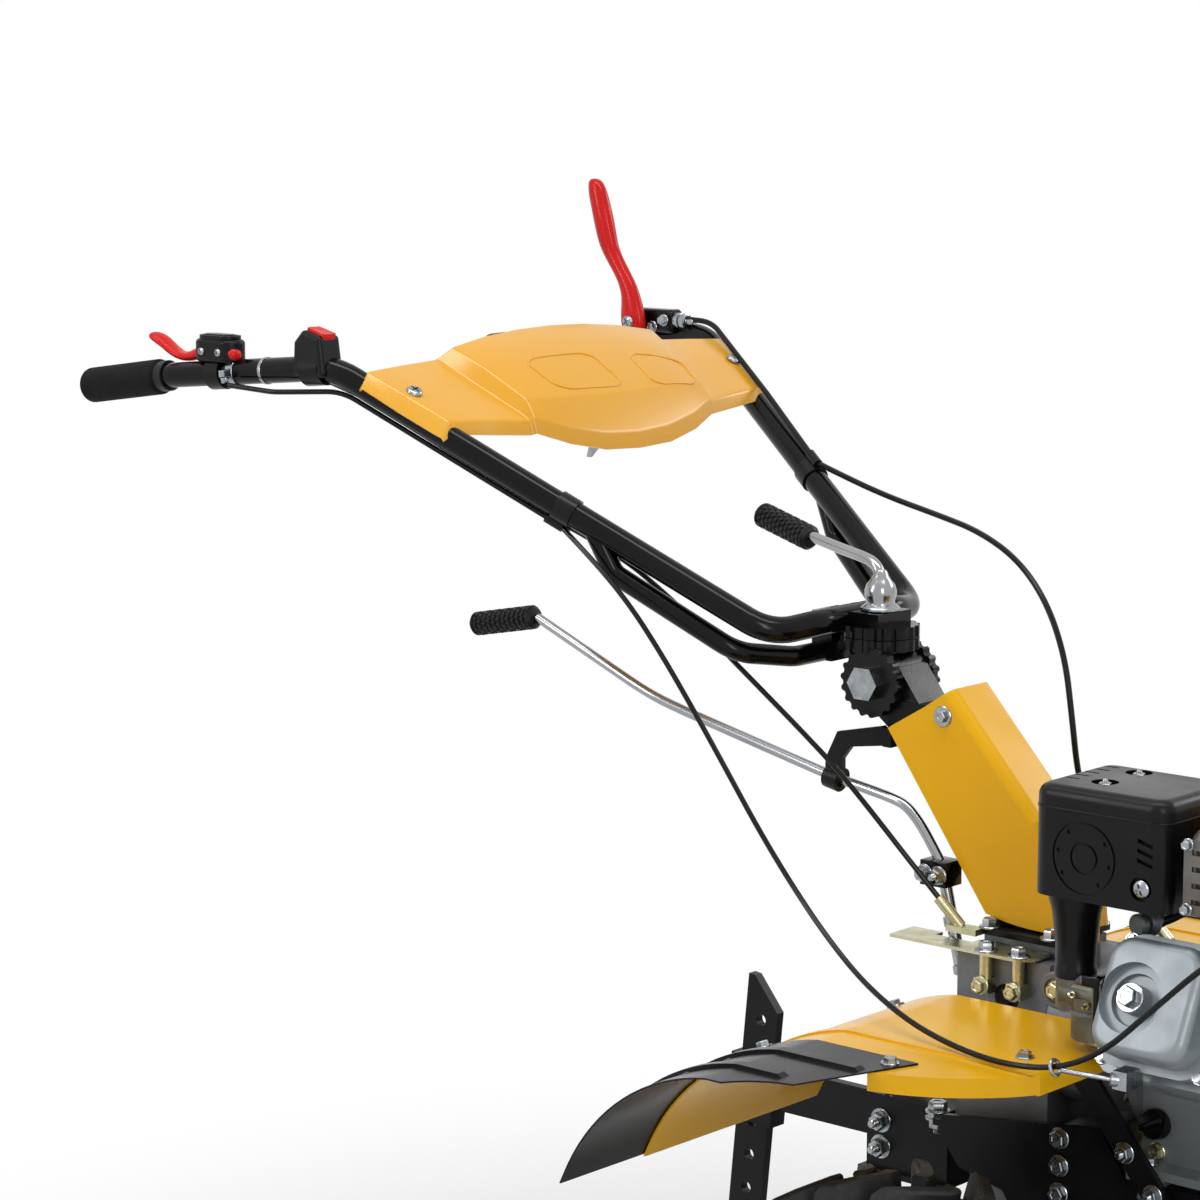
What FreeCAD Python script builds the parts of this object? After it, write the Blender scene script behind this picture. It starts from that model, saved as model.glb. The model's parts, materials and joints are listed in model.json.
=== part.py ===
import FreeCAD, Part
import math
import os

import Sketcher
from FreeCAD import Placement, Rotation, Vector

# Two-wheeled walking tiller (motor cultivator) with a single-cylinder petrol engine.
# Frame while modelling: X forward from the wheel axis, Y to the machine's left, Z up from the floor.
# Every sub-part is then placed so that the origin is on the floor, midway along the machine.

SIZES = {
    # wheels and axle
    "wheel_radius": 230.0,
    "wheel_offset": 300.0,
    "tyre_half_width": 51.0,
    "tyre_wall": 8.0,
    "rim_radius": 127.0,
    "rim_half_width": 44.0,
    "rim_sheet": 3.0,
    "hub_bore_radius": 23.05,
    "hub_outer_radius": 31.0,
    "hub_half_length": 62.0,
    "hub_flange_radius": 72.0,
    "hub_flange_thick": 6.0,
    "wheel_bolt_circle": 52.0,
    "wheel_bolt_radius": 6.5,
    "sleeve_radius": 23.0,
    "sleeve_start": 112.0,
    "axle_across_flats": 32.0,
    "axle_journal_radius": 20.0,
    "axle_half_length": 186.0,
    "fit_gap": 0.05,
    # gearbox and clutch housing
    "gearbox_rear": 137.0,
    "gearbox_front": 34.0,
    "gearbox_half_width": 58.0,
    "gearbox_top": 590.0,
    "axle_boss_radius": 78.0,
    "plate_face": 84.0,
    "side_plate_thick": 6.0,
    "side_plate_rear": 131.0,
    "flank_bolt_first": 443.0,
    "flank_bolt_pitch": 26.0,
    "flank_bolt_radius": 5.0,
    "engine_face": 76.0,
    "crank_height": 528.0,
    "housing_radius": 84.0,
    # engine
    "engine_base": 422.0,
    "engine_length": 165.0,
    "cylinder_incline": 25.0,
    "cylinder_reach": 238.0,
    "fin_count": 6.0,
    "fin_pitch": 11.0,
    "fin_thick": 3.0,
    "cleaner_rear": 40.0,
    "cleaner_length": 136.0,
    "cleaner_face": 202.0,
    "cleaner_depth": 118.0,
    "cleaner_bottom": 697.0,
    "cleaner_height": 97.0,
    "tank_rear": 96.0,
    "tank_length": 214.0,
    "tank_top": 772.0,
    "tank_depth": 78.0,
    "tank_half_width": 108.0,
    "tank_wall": 2.5,
    "fan_radius": 112.0,
    "fan_depth": 58.0,
    "recoil_depth": 42.0,
    # chassis
    "rail_half_gap": 90.0,
    "rail_sheet": 4.0,
    "rail_height": 38.0,
    "rail_front": 350.0,
    "bumper_reach": 480.0,
    "bumper_tube_radius": 12.5,
    "hitch_rear": 255.0,
    "hitch_front": 160.0,
    "hitch_half_width": 38.0,
    "hitch_top": 424.0,
    "hitch_bottom": 351.0,
    "hitch_sheet": 6.0,
    "hitch_pin_radius": 8.0,
    "stake_width": 40.0,
    "stake_thick": 10.0,
    "stake_length": 507.0,
    "stake_lean": 5.8,
    "stake_foot": 454.0,
    "stake_hole_pitch": 35.5,
    "stake_hole_radius": 6.0,
    # fenders
    "fender_top": 556.0,
    "fender_front": 92.0,
    "fender_inner": 92.0,
    "fender_joint": 300.0,
    "fender_outer": 455.0,
    "fender_rear": 272.0,
    "fender_sheet": 1.6,
    # column
    "column_half_width": 33.0,
    "swivel_back": 275.0,
    "swivel_height": 862.0,
    # handlebar
    "handle_tube_radius": 12.7,
    "handle_tube_wall": 2.0,
    "handle_high_back": 730.0,
    "handle_high_half": 280.0,
    "handle_high_height": 1110.0,
    "grip_reach": 1067.0,
    "grip_half": 300.0,
    "grip_height": 1074.0,
    "grip_length": 110.0,
    "grip_radius": 18.0,
    # cords
    "throttle_cable_radius": 2.6,
    "clutch_cable_radius": 3.0,
}

doc = FreeCAD.newDocument("WalkingTiller")
sheet = doc.addObject("Spreadsheet::Sheet", "Sizes")
for row, (alias, number) in enumerate(SIZES.items(), 1):
    sheet.set("A%d" % row, alias)
    sheet.set("B%d" % row, str(number))
    sheet.setAlias("B%d" % row, alias)
doc.recompute()


class Size:
    """A number that keeps the spreadsheet expression it was worked out from."""

    def __init__(self, value, text):
        self.value = float(value)
        self.text = text

    def __float__(self):
        return self.value

    def __neg__(self):
        return Size(-self.value, "-(%s)" % self.text)

    def __add__(self, other):
        other = size(other)
        return Size(self.value + other.value, "(%s + %s)" % (self.text, other.text))

    def __radd__(self, other):
        return size(other) + self

    def __sub__(self, other):
        other = size(other)
        return Size(self.value - other.value, "(%s - %s)" % (self.text, other.text))

    def __rsub__(self, other):
        return size(other) - self

    def __mul__(self, other):
        other = size(other)
        return Size(self.value * other.value, "(%s * %s)" % (self.text, other.text))

    def __rmul__(self, other):
        return size(other) * self

    def __truediv__(self, other):
        other = size(other)
        return Size(self.value / other.value, "(%s / %s)" % (self.text, other.text))


def size(number):
    """A plain number as a Size, and a Size as it is."""
    if isinstance(number, Size):
        return number
    return Size(number, repr(float(number)))


class Driving:
    """The driving dimensions, one attribute for each cell of the sheet."""


dim = Driving()
for alias, number in SIZES.items():
    setattr(dim, alias, Size(number, "Sizes.%s" % alias))

ORIGIN_SHIFT = (dim.grip_reach - dim.bumper_reach) / 2
NODES = {}


def finish(thing, label, up=0.0):
    """Name a sub-part and place it in the machine's frame, raised by up."""
    thing.Label = label
    thing.Placement = Placement(Vector(float(ORIGIN_SHIFT), 0, float(up)), Rotation())
    thing.setExpression("Placement.Base.x", ORIGIN_SHIFT.text)
    thing.setExpression("Placement.Base.z", size(up).text)
    NODES[label] = thing
    return thing


def shape_part(label, shape, up=0.0):
    """A sub-part whose shape comes from Part's own functions."""
    thing = doc.addObject("Part::Feature", "Shape_" + label)
    turned = not shape.Placement.isIdentity()
    thing.Shape = Part.makeCompound([shape]) if turned else shape
    return finish(thing, label, up)


def gathered(label, names):
    """Gather like pieces of one body, which don't touch each other, into one sub-part."""
    thing = doc.addObject("Part::Compound", "Set_" + label)
    thing.Links = [NODES.pop(name) for name in names]
    thing.Label = label
    NODES[label] = thing
    return thing


def welded(label, names):
    """Join touching pieces into one sub-part."""
    thing = doc.addObject("Part::MultiFuse", "Weld_" + label)
    thing.Shapes = [NODES.pop(name) for name in names]
    thing.Label = label
    NODES[label] = thing
    return thing


def unshifted(label):
    """A finished sub-part's shape in the frame that it was drawn in, about the axle."""
    shape = NODES[label].Shape.copy()
    shape.translate(Vector(-float(ORIGIN_SHIFT), 0, 0))
    return shape


# ---------------------------------------------------------------- PartDesign helpers

def new_body(name):
    return doc.addObject("PartDesign::Body", name)


def sketch_on(body, role, lift=None):
    """A sketch on one of the body's own origin planes, lifted along the plane's normal."""
    flat = [f for f in body.Origin.OriginFeatures if f.Role == role][0]
    sketch = body.newObject("Sketcher::SketchObject", body.Name + "_sketch")
    sketch.AttachmentSupport = (flat, [""])
    sketch.MapMode = "FlatFace"
    if lift is not None:
        sketch.AttachmentOffset = Placement(Vector(0, 0, float(lift)), Rotation())
        sketch.setExpression("AttachmentOffset.Base.z", size(lift).text)
    return sketch


def pin_point(sketch, geometry, end, x, y):
    """Fix one end of a piece of sketch geometry at a place that the sheet gives."""
    for kind, place in (("DistanceX", size(x)), ("DistanceY", size(y))):
        rule = Sketcher.Constraint(kind, -1, 1, geometry, end, place.value)
        index = sketch.addConstraint(rule)
        sketch.setExpression("Constraints[%d]" % index, place.text)


def arc_middle(start, finish_point, radius):
    """The middle of the arc from start to finish_point; it bulges to the right if radius is over 0."""
    chord = finish_point - start
    half = chord.Length / 2
    reach = abs(radius)
    rise = reach - math.sqrt(max(reach * reach - half * half, 0.0))
    right = Vector(chord.y, -chord.x, 0).normalize()
    return start + chord * 0.5 + right * (rise if radius > 0 else -rise)


def outline(sketch, corners):
    """A closed outline. A corner is (x, y), or (x, y, radius) where an arc starts there."""
    count = len(corners)
    points = [Vector(float(c[0]), float(c[1]), 0) for c in corners]
    ends = []
    for k, corner in enumerate(corners):
        a, b = points[k], points[(k + 1) % count]
        if len(corner) == 3:
            middle = arc_middle(a, b, float(corner[2]))
            forward = float(corner[2]) > 0
            arc = Part.Arc(a, middle, b) if forward else Part.Arc(b, middle, a)
            index = sketch.addGeometry(arc, False)
            ends.append((index, 1 if forward else 2, 2 if forward else 1))
            radius = abs(float(corner[2]))
            rule = Sketcher.Constraint("Radius", index, radius)
            place = sketch.addConstraint(rule)
            if isinstance(corner[2], Size):
                sketch.setExpression("Constraints[%d]" % place, "abs(%s)" % corner[2].text)
        else:
            index = sketch.addGeometry(Part.LineSegment(a, b), False)
            ends.append((index, 1, 2))
    for k in range(count):
        here, following = ends[k], ends[(k + 1) % count]
        rule = Sketcher.Constraint("Coincident", here[0], here[2], following[0], following[1])
        sketch.addConstraint(rule)
        pin_point(sketch, here[0], here[1], corners[k][0], corners[k][1])


def circle(sketch, x, y, radius):
    ring = Part.Circle(Vector(float(x), float(y), 0), Vector(0, 0, 1), float(radius))
    index = sketch.addGeometry(ring, False)
    place = sketch.addConstraint(Sketcher.Constraint("Radius", index, float(radius)))
    sketch.setExpression("Constraints[%d]" % place, size(radius).text)
    pin_point(sketch, index, 3, x, y)


def pad(body, sketch, length, symmetric=False, backwards=False):
    feature = body.newObject("PartDesign::Pad", body.Name + "_pad")
    feature.Profile = sketch
    feature.setExpression("Length", size(length).text)
    feature.SideType = "Symmetric" if symmetric else "One side"
    feature.Reversed = backwards
    return feature


def pocket(body, sketch, length=None, symmetric=False, backwards=False):
    """A pocket of the given depth, or right through both ways where no depth is given."""
    feature = body.newObject("PartDesign::Pocket", body.Name + "_pocket")
    feature.Profile = sketch
    if length is None:
        feature.Type = "ThroughAll"
        feature.SideType = "Symmetric"
    else:
        feature.setExpression("Length", size(length).text)
        feature.SideType = "Symmetric" if symmetric else "One side"
        feature.Reversed = backwards
    return feature


def revolve(body, sketch, axis, groove=False):
    kind = "PartDesign::Groove" if groove else "PartDesign::Revolution"
    feature = body.newObject(kind, body.Name + "_turned")
    feature.Profile = sketch
    feature.ReferenceAxis = (sketch, [axis])
    feature.Angle = 360
    return feature


def round_edges(body, base, radius, wanted):
    """Fillet the edges of base for which wanted(edge) is true."""
    doc.recompute()
    names = ["Edge%d" % (k + 1) for k, edge in enumerate(base.Shape.Edges) if wanted(edge)]
    feature = body.newObject("PartDesign::Fillet", body.Name + "_fillet")
    feature.Base = (base, names)
    feature.setExpression("Radius", size(radius).text)
    return feature


def along(edge, axis):
    """Is the edge straight and parallel to the axis vector?"""
    if edge.Curve.TypeId != "Part::GeomLine":
        return False
    start, end = edge.Vertexes[0].Point, edge.Vertexes[-1].Point
    return abs(abs((end - start).normalize().dot(axis)) - 1) < 1e-6


def around(body, base, count, axis_role):
    """A polar pattern of the feature base about one of the body's own axes."""
    doc.recompute()
    line = [f for f in body.Origin.OriginFeatures if f.Role == axis_role][0]
    pattern = body.newObject("PartDesign::PolarPattern", body.Name + "_pattern")
    pattern.Originals = [base]
    pattern.Axis = (line, [""])
    pattern.Angle = 360
    pattern.Occurrences = count
    body.Tip = pattern
    return pattern


# ---------------------------------------------------------------- Part helpers

X_AXIS = Vector(1, 0, 0)
Y_AXIS = Vector(0, 1, 0)
Z_AXIS = Vector(0, 0, 1)


def block(x0, x1, y0, y1, z0, z1):
    """A box between two corners."""
    x0, x1, y0, y1, z0, z1 = (float(v) for v in (x0, x1, y0, y1, z0, z1))
    return Part.makeBox(x1 - x0, y1 - y0, z1 - z0, Vector(x0, y0, z0))


def rod(start, end, radius):
    """A round bar from one point to another."""
    start, end = Vector(*(float(v) for v in start)), Vector(*(float(v) for v in end))
    run = end - start
    return Part.makeCylinder(float(radius), run.Length, start, run)


def rounded(shape, radius, wanted):
    edges = [edge for edge in shape.Edges if wanted(edge)]
    return shape.makeFillet(float(radius), edges) if edges else shape


def fused(shapes):
    """One solid from touching or overlapping shapes."""
    whole = shapes[0].multiFuse(shapes[1:]) if len(shapes) > 1 else shapes[0]
    return whole.removeSplitter()


def bent_path(points, radii):
    """Straight runs joined by tangent arcs, one radius for each inner point."""
    points = [Vector(*(float(v) for v in p)) for p in points]
    edges, start = [], points[0]
    for k in range(1, len(points) - 1):
        back = (points[k - 1] - points[k]).normalize()
        onward = (points[k + 1] - points[k]).normalize()
        half = (math.pi - back.getAngle(onward)) / 2
        cut = float(radii[k - 1]) * math.tan(half)
        a, b = points[k] + back * cut, points[k] + onward * cut
        centre_way = (back + onward).normalize()
        middle = points[k] + centre_way * (float(radii[k - 1]) / math.cos(half) - float(radii[k - 1]))
        if a.distanceToPoint(start) > 1e-6:
            edges.append(Part.LineSegment(start, a).toShape())
        edges.append(Part.Arc(a, middle, b).toShape())
        start = b
    edges.append(Part.LineSegment(start, points[-1]).toShape())
    return Part.Wire(edges)


def swept(path, radius):
    """A round bar along a path."""
    first = path.OrderedEdges[0] if hasattr(path, "OrderedEdges") else path.Edges[0]
    start = path.OrderedVertexes[0].Point
    way = first.tangentAt(first.FirstParameter)
    if first.valueAt(first.FirstParameter).distanceToPoint(start) > 1e-6:
        way = first.tangentAt(first.LastParameter) * -1
    ring = Part.Wire([Part.Circle(start, way, float(radius)).toShape()])
    return Part.Wire(path).makePipeShell([ring], True, True)


def tube(points, radii, radius, wall):
    """A bent steel tube, open at its ends."""
    path = bent_path(points, radii)
    return swept(path, radius).cut(swept(path, float(radius) - float(wall)))


# ---------------------------------------------------------------- wheels and axle

def section(corners, centre, side):
    """Corners of (radius, offset[, bulge]) about a wheel's own middle, for one side of the machine."""
    placed = []
    for corner in corners:
        spot = (corner[0], centre + corner[1] * side)
        placed.append(spot + ((corner[2] * side),) if len(corner) == 3 else spot)
    return placed


def tyre_corners():
    """Half-open tyre section: beads, side walls and a gently crowned tread base."""
    bead = dim.rim_radius
    seat = dim.rim_half_width - dim.rim_sheet
    shoulder = dim.tyre_half_width - 5
    tread = dim.tyre_half_width - 20
    crown = (tread * tread + 25) / 10
    top = dim.wheel_radius
    lining = shoulder - dim.tyre_wall
    return [
        (bead, -seat),
        (bead + 13, -seat, size(65)),
        (top - 26, -shoulder, size(32)),
        (top - 5, -tread, crown),
        (top - 5, tread, size(32)),
        (top - 26, shoulder, size(65)),
        (bead + 13, seat),
        (bead, seat),
        (bead, seat - dim.tyre_wall),
        (bead + 13, seat - dim.tyre_wall, size(-70)),
        (top - 34, lining, size(-60)),
        (top - 34, -lining, size(-70)),
        (bead + 13, dim.tyre_wall - seat),
        (bead, dim.tyre_wall - seat),
    ]


def make_tyre(hand, side):
    body = new_body("Tyre_" + hand)
    sketch = sketch_on(body, "XY_Plane")
    outline(sketch, section(tyre_corners(), dim.wheel_offset * side, side))
    revolve(body, sketch, "V_Axis")
    finish(body, "tyre_" + hand, dim.wheel_radius)


def make_rim(hand, side):
    """Rolled rim with a drop centre and a dished disc, vented and drilled for the hub bolts."""
    body = new_body("Rim_" + hand)
    seat, sheet_thick, half = dim.rim_radius, dim.rim_sheet, dim.rim_half_width
    lip, drop = seat + 12, seat - 16
    inside = seat - sheet_thick
    barrel = [
        (lip, -half), (lip, sheet_thick - half), (seat, sheet_thick - half), (seat, size(-20)),
        (drop, size(-12)), (drop, size(12)), (seat, size(20)), (seat, half - sheet_thick),
        (lip, half - sheet_thick), (lip, half), (inside, half), (inside, size(22)),
        (drop - sheet_thick, size(13)), (drop - sheet_thick, size(-13)),
        (inside, size(-22)), (inside, -half),
    ]
    hole = dim.hub_outer_radius + 0.5
    edge = drop - sheet_thick
    disc = [
        (hole, size(-26)), (size(78), size(-26)), (size(94), size(-14)), (edge + 0.5, size(-10)),
        (edge + 0.5, size(-6)), (size(92.5), size(-10)), (size(76.5), size(-22)), (hole, size(-22)),
    ]
    for corners in (barrel, disc):
        sketch = sketch_on(body, "XY_Plane")
        outline(sketch, section(corners, dim.wheel_offset * side, side))
        revolve(body, sketch, "V_Axis")
    for count, place, radius in ((4, dim.wheel_bolt_circle, dim.wheel_bolt_radius), (8, size(86), size(9))):
        sketch = sketch_on(body, "XZ_Plane")
        circle(sketch, place, 0, radius)
        around(body, pocket(body, sketch), count, "Y_Axis")
    finish(body, "rim_" + hand, dim.wheel_radius)


def make_hub(hand, side):
    """Free-turning hub: a flanged tube that runs on the axle sleeve."""
    body = new_body("Hub_" + hand)
    bore, shell, half = dim.hub_bore_radius, dim.hub_outer_radius, dim.hub_half_length
    flange = dim.hub_flange_radius
    back = -26 - dim.hub_flange_thick
    corners = [
        (bore, -10 - half), (shell, -10 - half), (shell, back), (flange, back), (flange, size(-26)),
        (shell, size(-26)), (shell, half - 10), (bore, half - 10),
    ]
    sketch = sketch_on(body, "XY_Plane")
    outline(sketch, section(corners, dim.wheel_offset * side, side))
    revolve(body, sketch, "V_Axis")
    sketch = sketch_on(body, "XZ_Plane")
    circle(sketch, dim.wheel_bolt_circle, 0, dim.wheel_bolt_radius)
    around(body, pocket(body, sketch), 4, "Y_Axis")
    finish(body, "hub_" + hand, dim.wheel_radius)


def hexagon(flats):
    """Corners of a hexagon standing on a corner, by its width across the flats."""
    reach = flats / math.sqrt(3)
    return [
        (size(0), -reach), (flats / 2, -reach / 2), (flats / 2, reach / 2),
        (size(0), reach), (-flats / 2, reach / 2), (-flats / 2, -reach / 2),
    ]


def make_axle():
    """Hexagonal drive axle with a round journal where it passes through the gearbox."""
    body = new_body("Axle")
    sketch = sketch_on(body, "XZ_Plane")
    outline(sketch, hexagon(dim.axle_across_flats))
    pad(body, sketch, dim.axle_half_length * 2, symmetric=True)
    sketch = sketch_on(body, "XZ_Plane")
    circle(sketch, 0, 0, dim.axle_journal_radius)
    pad(body, sketch, size(208), symmetric=True)
    finish(body, "drive_axle", dim.wheel_radius)


def make_sleeve(hand, side):
    """Round sleeve keyed on the hexagonal axle, with a collar each side of the wheel hub."""
    body = new_body("Sleeve_" + hand)
    middle = dim.wheel_offset - 10
    near, far = middle - dim.hub_half_length, middle + dim.hub_half_length
    bore, shell, collar = size(15), dim.sleeve_radius, dim.sleeve_radius + 8
    profile = [
        (bore, dim.sleeve_start), (shell, dim.sleeve_start), (shell, near - 9), (collar, near - 9),
        (collar, near - 2), (shell, near - 2), (shell, far + 2), (collar, far + 2),
        (collar, far + 9), (bore, far + 9),
    ]
    sketch = sketch_on(body, "XY_Plane")
    outline(sketch, [(r, y * side) for r, y in profile])
    revolve(body, sketch, "V_Axis")
    sketch = sketch_on(body, "XZ_Plane")
    outline(sketch, hexagon(dim.axle_across_flats + 4 * dim.fit_gap))
    pocket(body, sketch)
    finish(body, "axle_sleeve_" + hand, dim.wheel_radius)


# ---------------------------------------------------------------- gearbox and clutch housing

def gearbox_outline(grow):
    """Side outline of the tall chain and gear case, widened all round by grow."""
    boss = dim.axle_boss_radius + grow
    low = dim.wheel_radius
    rear, front, top = -dim.gearbox_rear - grow, -dim.gearbox_front, dim.gearbox_top + grow
    return [
        (-boss * 0.923, low + boss * 0.385, boss), (size(0), low - boss, boss),
        (boss * 0.974, low + boss * 0.227), (62 + grow, low + 150), (size(50) + grow, low + 206),
        (front, low + 206), (front, top), (rear, top), (rear, low + 190),
    ]


def make_gearbox():
    """Cast case: two shells meeting in a raised rim, axle bosses, bolt pads on both flanks."""
    body = new_body("Gearbox")
    sketch = sketch_on(body, "XZ_Plane")
    outline(sketch, gearbox_outline(size(0)))
    shell = pad(body, sketch, dim.gearbox_half_width * 2, symmetric=True)
    round_edges(body, shell, size(9), lambda e: along(e, Y_AXIS) and e.Vertexes[0].Point.x < -100)
    sketch = sketch_on(body, "XZ_Plane")
    outline(sketch, gearbox_outline(size(6)))
    pad(body, sketch, size(14), symmetric=True)
    sketch = sketch_on(body, "XZ_Plane")
    circle(sketch, 0, dim.wheel_radius, size(42))
    pad(body, sketch, size(200), symmetric=True)
    sketch = sketch_on(body, "XZ_Plane")
    for k in range(5):
        circle(sketch, 2, dim.flank_bolt_first - dim.flank_bolt_pitch * k, size(10))
    pad(body, sketch, dim.plate_face * 2, symmetric=True)
    sketch = sketch_on(body, "XZ_Plane")
    half_pad = (size(-112), dim.gearbox_top - 4)
    outline(sketch, [half_pad, (-dim.gearbox_front, dim.gearbox_top - 4),
                     (-dim.gearbox_front, dim.gearbox_top + 14), (size(-112), dim.gearbox_top + 14)])
    pad(body, sketch, size(68), symmetric=True)
    sketch = sketch_on(body, "XZ_Plane")
    circle(sketch, 0, dim.wheel_radius, dim.axle_journal_radius + dim.fit_gap)
    for k in range(5):
        circle(sketch, 2, dim.flank_bolt_first - dim.flank_bolt_pitch * k, dim.flank_bolt_radius)
    pocket(body, sketch)
    finish(body, "gearbox_case")


def make_clutch_housing():
    """Round bell between gearbox and engine, with the shift shaft boss on its right side."""
    body = new_body("ClutchHousing")
    sketch = sketch_on(body, "XZ_Plane")
    rear, face, radius = -dim.gearbox_front, dim.engine_face, dim.housing_radius - 10
    outline(sketch, [
        (rear, size(0)), (face, size(0)), (face, radius + 14), (face - 9, radius + 14),
        (face - 14, radius), (rear + 6, radius), (rear, radius - 6),
    ])
    revolve(body, sketch, "H_Axis")
    sketch = sketch_on(body, "XZ_Plane")
    circle(sketch, rear + 18, size(46), size(15))
    pad(body, sketch, size(72))
    finish(body, "clutch_housing", dim.crank_height)


# ---------------------------------------------------------------- engine

def tilted(shape):
    """Turn a shape built level along -Y about the crank line by the cylinder's incline."""
    turned = shape.copy()
    turned.rotate(Vector(0, 0, float(dim.crank_height)), X_AXIS, -float(dim.cylinder_incline))
    return turned


CYLINDER_X = float(dim.engine_face) + 92


def make_crankcase():
    """Cast crankcase with its feet, and the finned cylinder barrel leaning to the right."""
    rear, base, crank = dim.engine_face, float(dim.engine_base), float(dim.crank_height)
    front = rear + dim.engine_length
    case = block(rear, front, -70, 82, base + 12, crank + 78)
    case = rounded(case, 22, lambda e: along(e, X_AXIS) and e.Vertexes[0].Point.z > crank)
    case = case.cut(block(rear + 9, front - 9, -61, 73, base + 21, crank + 69))
    feet = block(rear, front, -95, 95, base, base + 14)
    gap = block(rear + 38, front - 38, -96, 96, base - 1, base + 6)
    barrel = tilted(block(CYLINDER_X - 46, CYLINDER_X + 46, -150, -50, crank - 48, crank + 48))
    barrel = barrel.common(block(rear, front, -200, 60, base + 14, crank + 120))
    shapes = [case, feet.cut(gap), barrel]
    for k in range(int(SIZES["fin_count"])):
        y = -84 - k * SIZES["fin_pitch"]
        fin = block(CYLINDER_X - 60, CYLINDER_X + 60, y - SIZES["fin_thick"], y, crank - 60, crank + 60)
        fin = rounded(fin, 12, lambda e: along(e, Y_AXIS))
        shapes.append(tilted(fin).common(block(rear, front, -300, 60, base + 14, crank + 200)))
    shape_part("engine_crankcase", fused(shapes))


def make_cylinder_head():
    """Aluminium head with cooling fins and the gasket face for its cover."""
    crank = float(dim.crank_height)
    outer = float(dim.cylinder_reach)
    core = block(CYLINDER_X - 44, CYLINDER_X + 44, 46 - outer, -150, crank - 50, crank + 50)
    seat = block(CYLINDER_X - 52, CYLINDER_X + 52, 36 - outer, 46 - outer, crank - 56, crank + 56)
    shapes = [core, rounded(seat, 16, lambda e: along(e, Y_AXIS))]
    for k in range(3):
        y = -158 - k * SIZES["fin_pitch"]
        fin = block(CYLINDER_X - 62, CYLINDER_X + 62, y - SIZES["fin_thick"], y, crank - 62, crank + 62)
        shapes.append(rounded(fin, 12, lambda e: along(e, Y_AXIS)))
    shape_part("cylinder_head", tilted(fused(shapes)))


def make_head_cover():
    """Cast rocker cover: stepped flange, domed box and a round dish about the centre bolt."""
    crank = float(dim.crank_height)
    outer = float(dim.cylinder_reach)
    flange = block(CYLINDER_X - 54, CYLINDER_X + 54, 30 - outer, 36 - outer, crank - 58, crank + 58)
    flange = rounded(flange, 24, lambda e: along(e, Y_AXIS))
    dome = block(CYLINDER_X - 47, CYLINDER_X + 47, -outer, 30 - outer, crank - 51, crank + 51)
    dome = rounded(dome, 22, lambda e: along(e, Y_AXIS))
    dome = rounded(dome, 9, lambda e: e.BoundBox.YMax < 1 - outer)
    middle = Vector(CYLINDER_X - 14, -outer - 0.01, crank - 2)
    rim = Part.makeCylinder(31, 9, middle, Y_AXIS)
    step = Part.makeCone(25, 22, 14, middle, Y_AXIS)
    knob = Part.makeCylinder(13, 14, middle, Y_AXIS)
    shape_part("head_cover", tilted(fused([flange, dome]).cut(rim.fuse(step).cut(knob))))


def make_air_cleaner():
    """Moulded air cleaner box: ring relief, dimples and louvres on its face, two wells in its top."""
    rear, length, face = dim.cleaner_rear, dim.cleaner_length, dim.cleaner_face
    low, high = dim.cleaner_bottom, dim.cleaner_bottom + dim.cleaner_height
    body = new_body("AirCleaner")
    sketch = sketch_on(body, "XZ_Plane", lift=face - dim.cleaner_depth)
    outline(sketch, [(rear, low), (rear + length, low), (rear + length, high), (rear, high)])
    box = pad(body, sketch, dim.cleaner_depth)
    edges = round_edges(body, box, size(17), lambda e: along(e, Z_AXIS))
    round_edges(body, edges, size(11), lambda e: e.BoundBox.ZMin > float(high) - 0.01)
    middle_x, middle_z = rear + 55, low + 38
    for radius in (32, 14):
        sketch = sketch_on(body, "XZ_Plane", lift=face - 1.5)
        circle(sketch, middle_x, middle_z, size(radius))
        circle(sketch, middle_x, middle_z, size(radius - 2.2))
        pocket(body, sketch, size(3), backwards=True)
    sketch = sketch_on(body, "XZ_Plane", lift=face - 1.5)
    for degrees in (-54, -9, 36, 126, 171, 216):
        turn = math.radians(degrees)
        circle(sketch, middle_x + 26 * math.cos(turn), middle_z + 26 * math.sin(turn), size(2))
    pocket(body, sketch, size(3), backwards=True)
    sketch = sketch_on(body, "XZ_Plane", lift=face - 4)
    for k in range(3):
        x, z = rear + 108, low + 39 + 8.5 * k
        outline(sketch, [(x, z + 4), (x + 15, z), (x + 15, z + 3.6), (x, z + 7.6)])
    circle(sketch, rear + 112, low + 20, size(10.5))
    pocket(body, sketch, size(8), backwards=True)
    sketch = sketch_on(body, "XY_Plane", lift=high - 6)
    for y in (-161, -108):
        circle(sketch, rear + 48, size(y), size(12))
    pocket(body, sketch, size(8), backwards=True)
    sketch = sketch_on(body, "XY_Plane", lift=high - 5)
    for k in range(5):
        start, y = rear - 2, size(-166 + 15.5 * k)
        outline(sketch, [(start, y), (start + 26, y), (start + 26, y + 3), (start, y + 3)])
    pocket(body, sketch, size(8), backwards=True)
    finish(body, "air_cleaner")


HEAD_HALF = 62.0
PORT_Y, PORT_Z = -158.0, float(dim.crank_height) + 76


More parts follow.
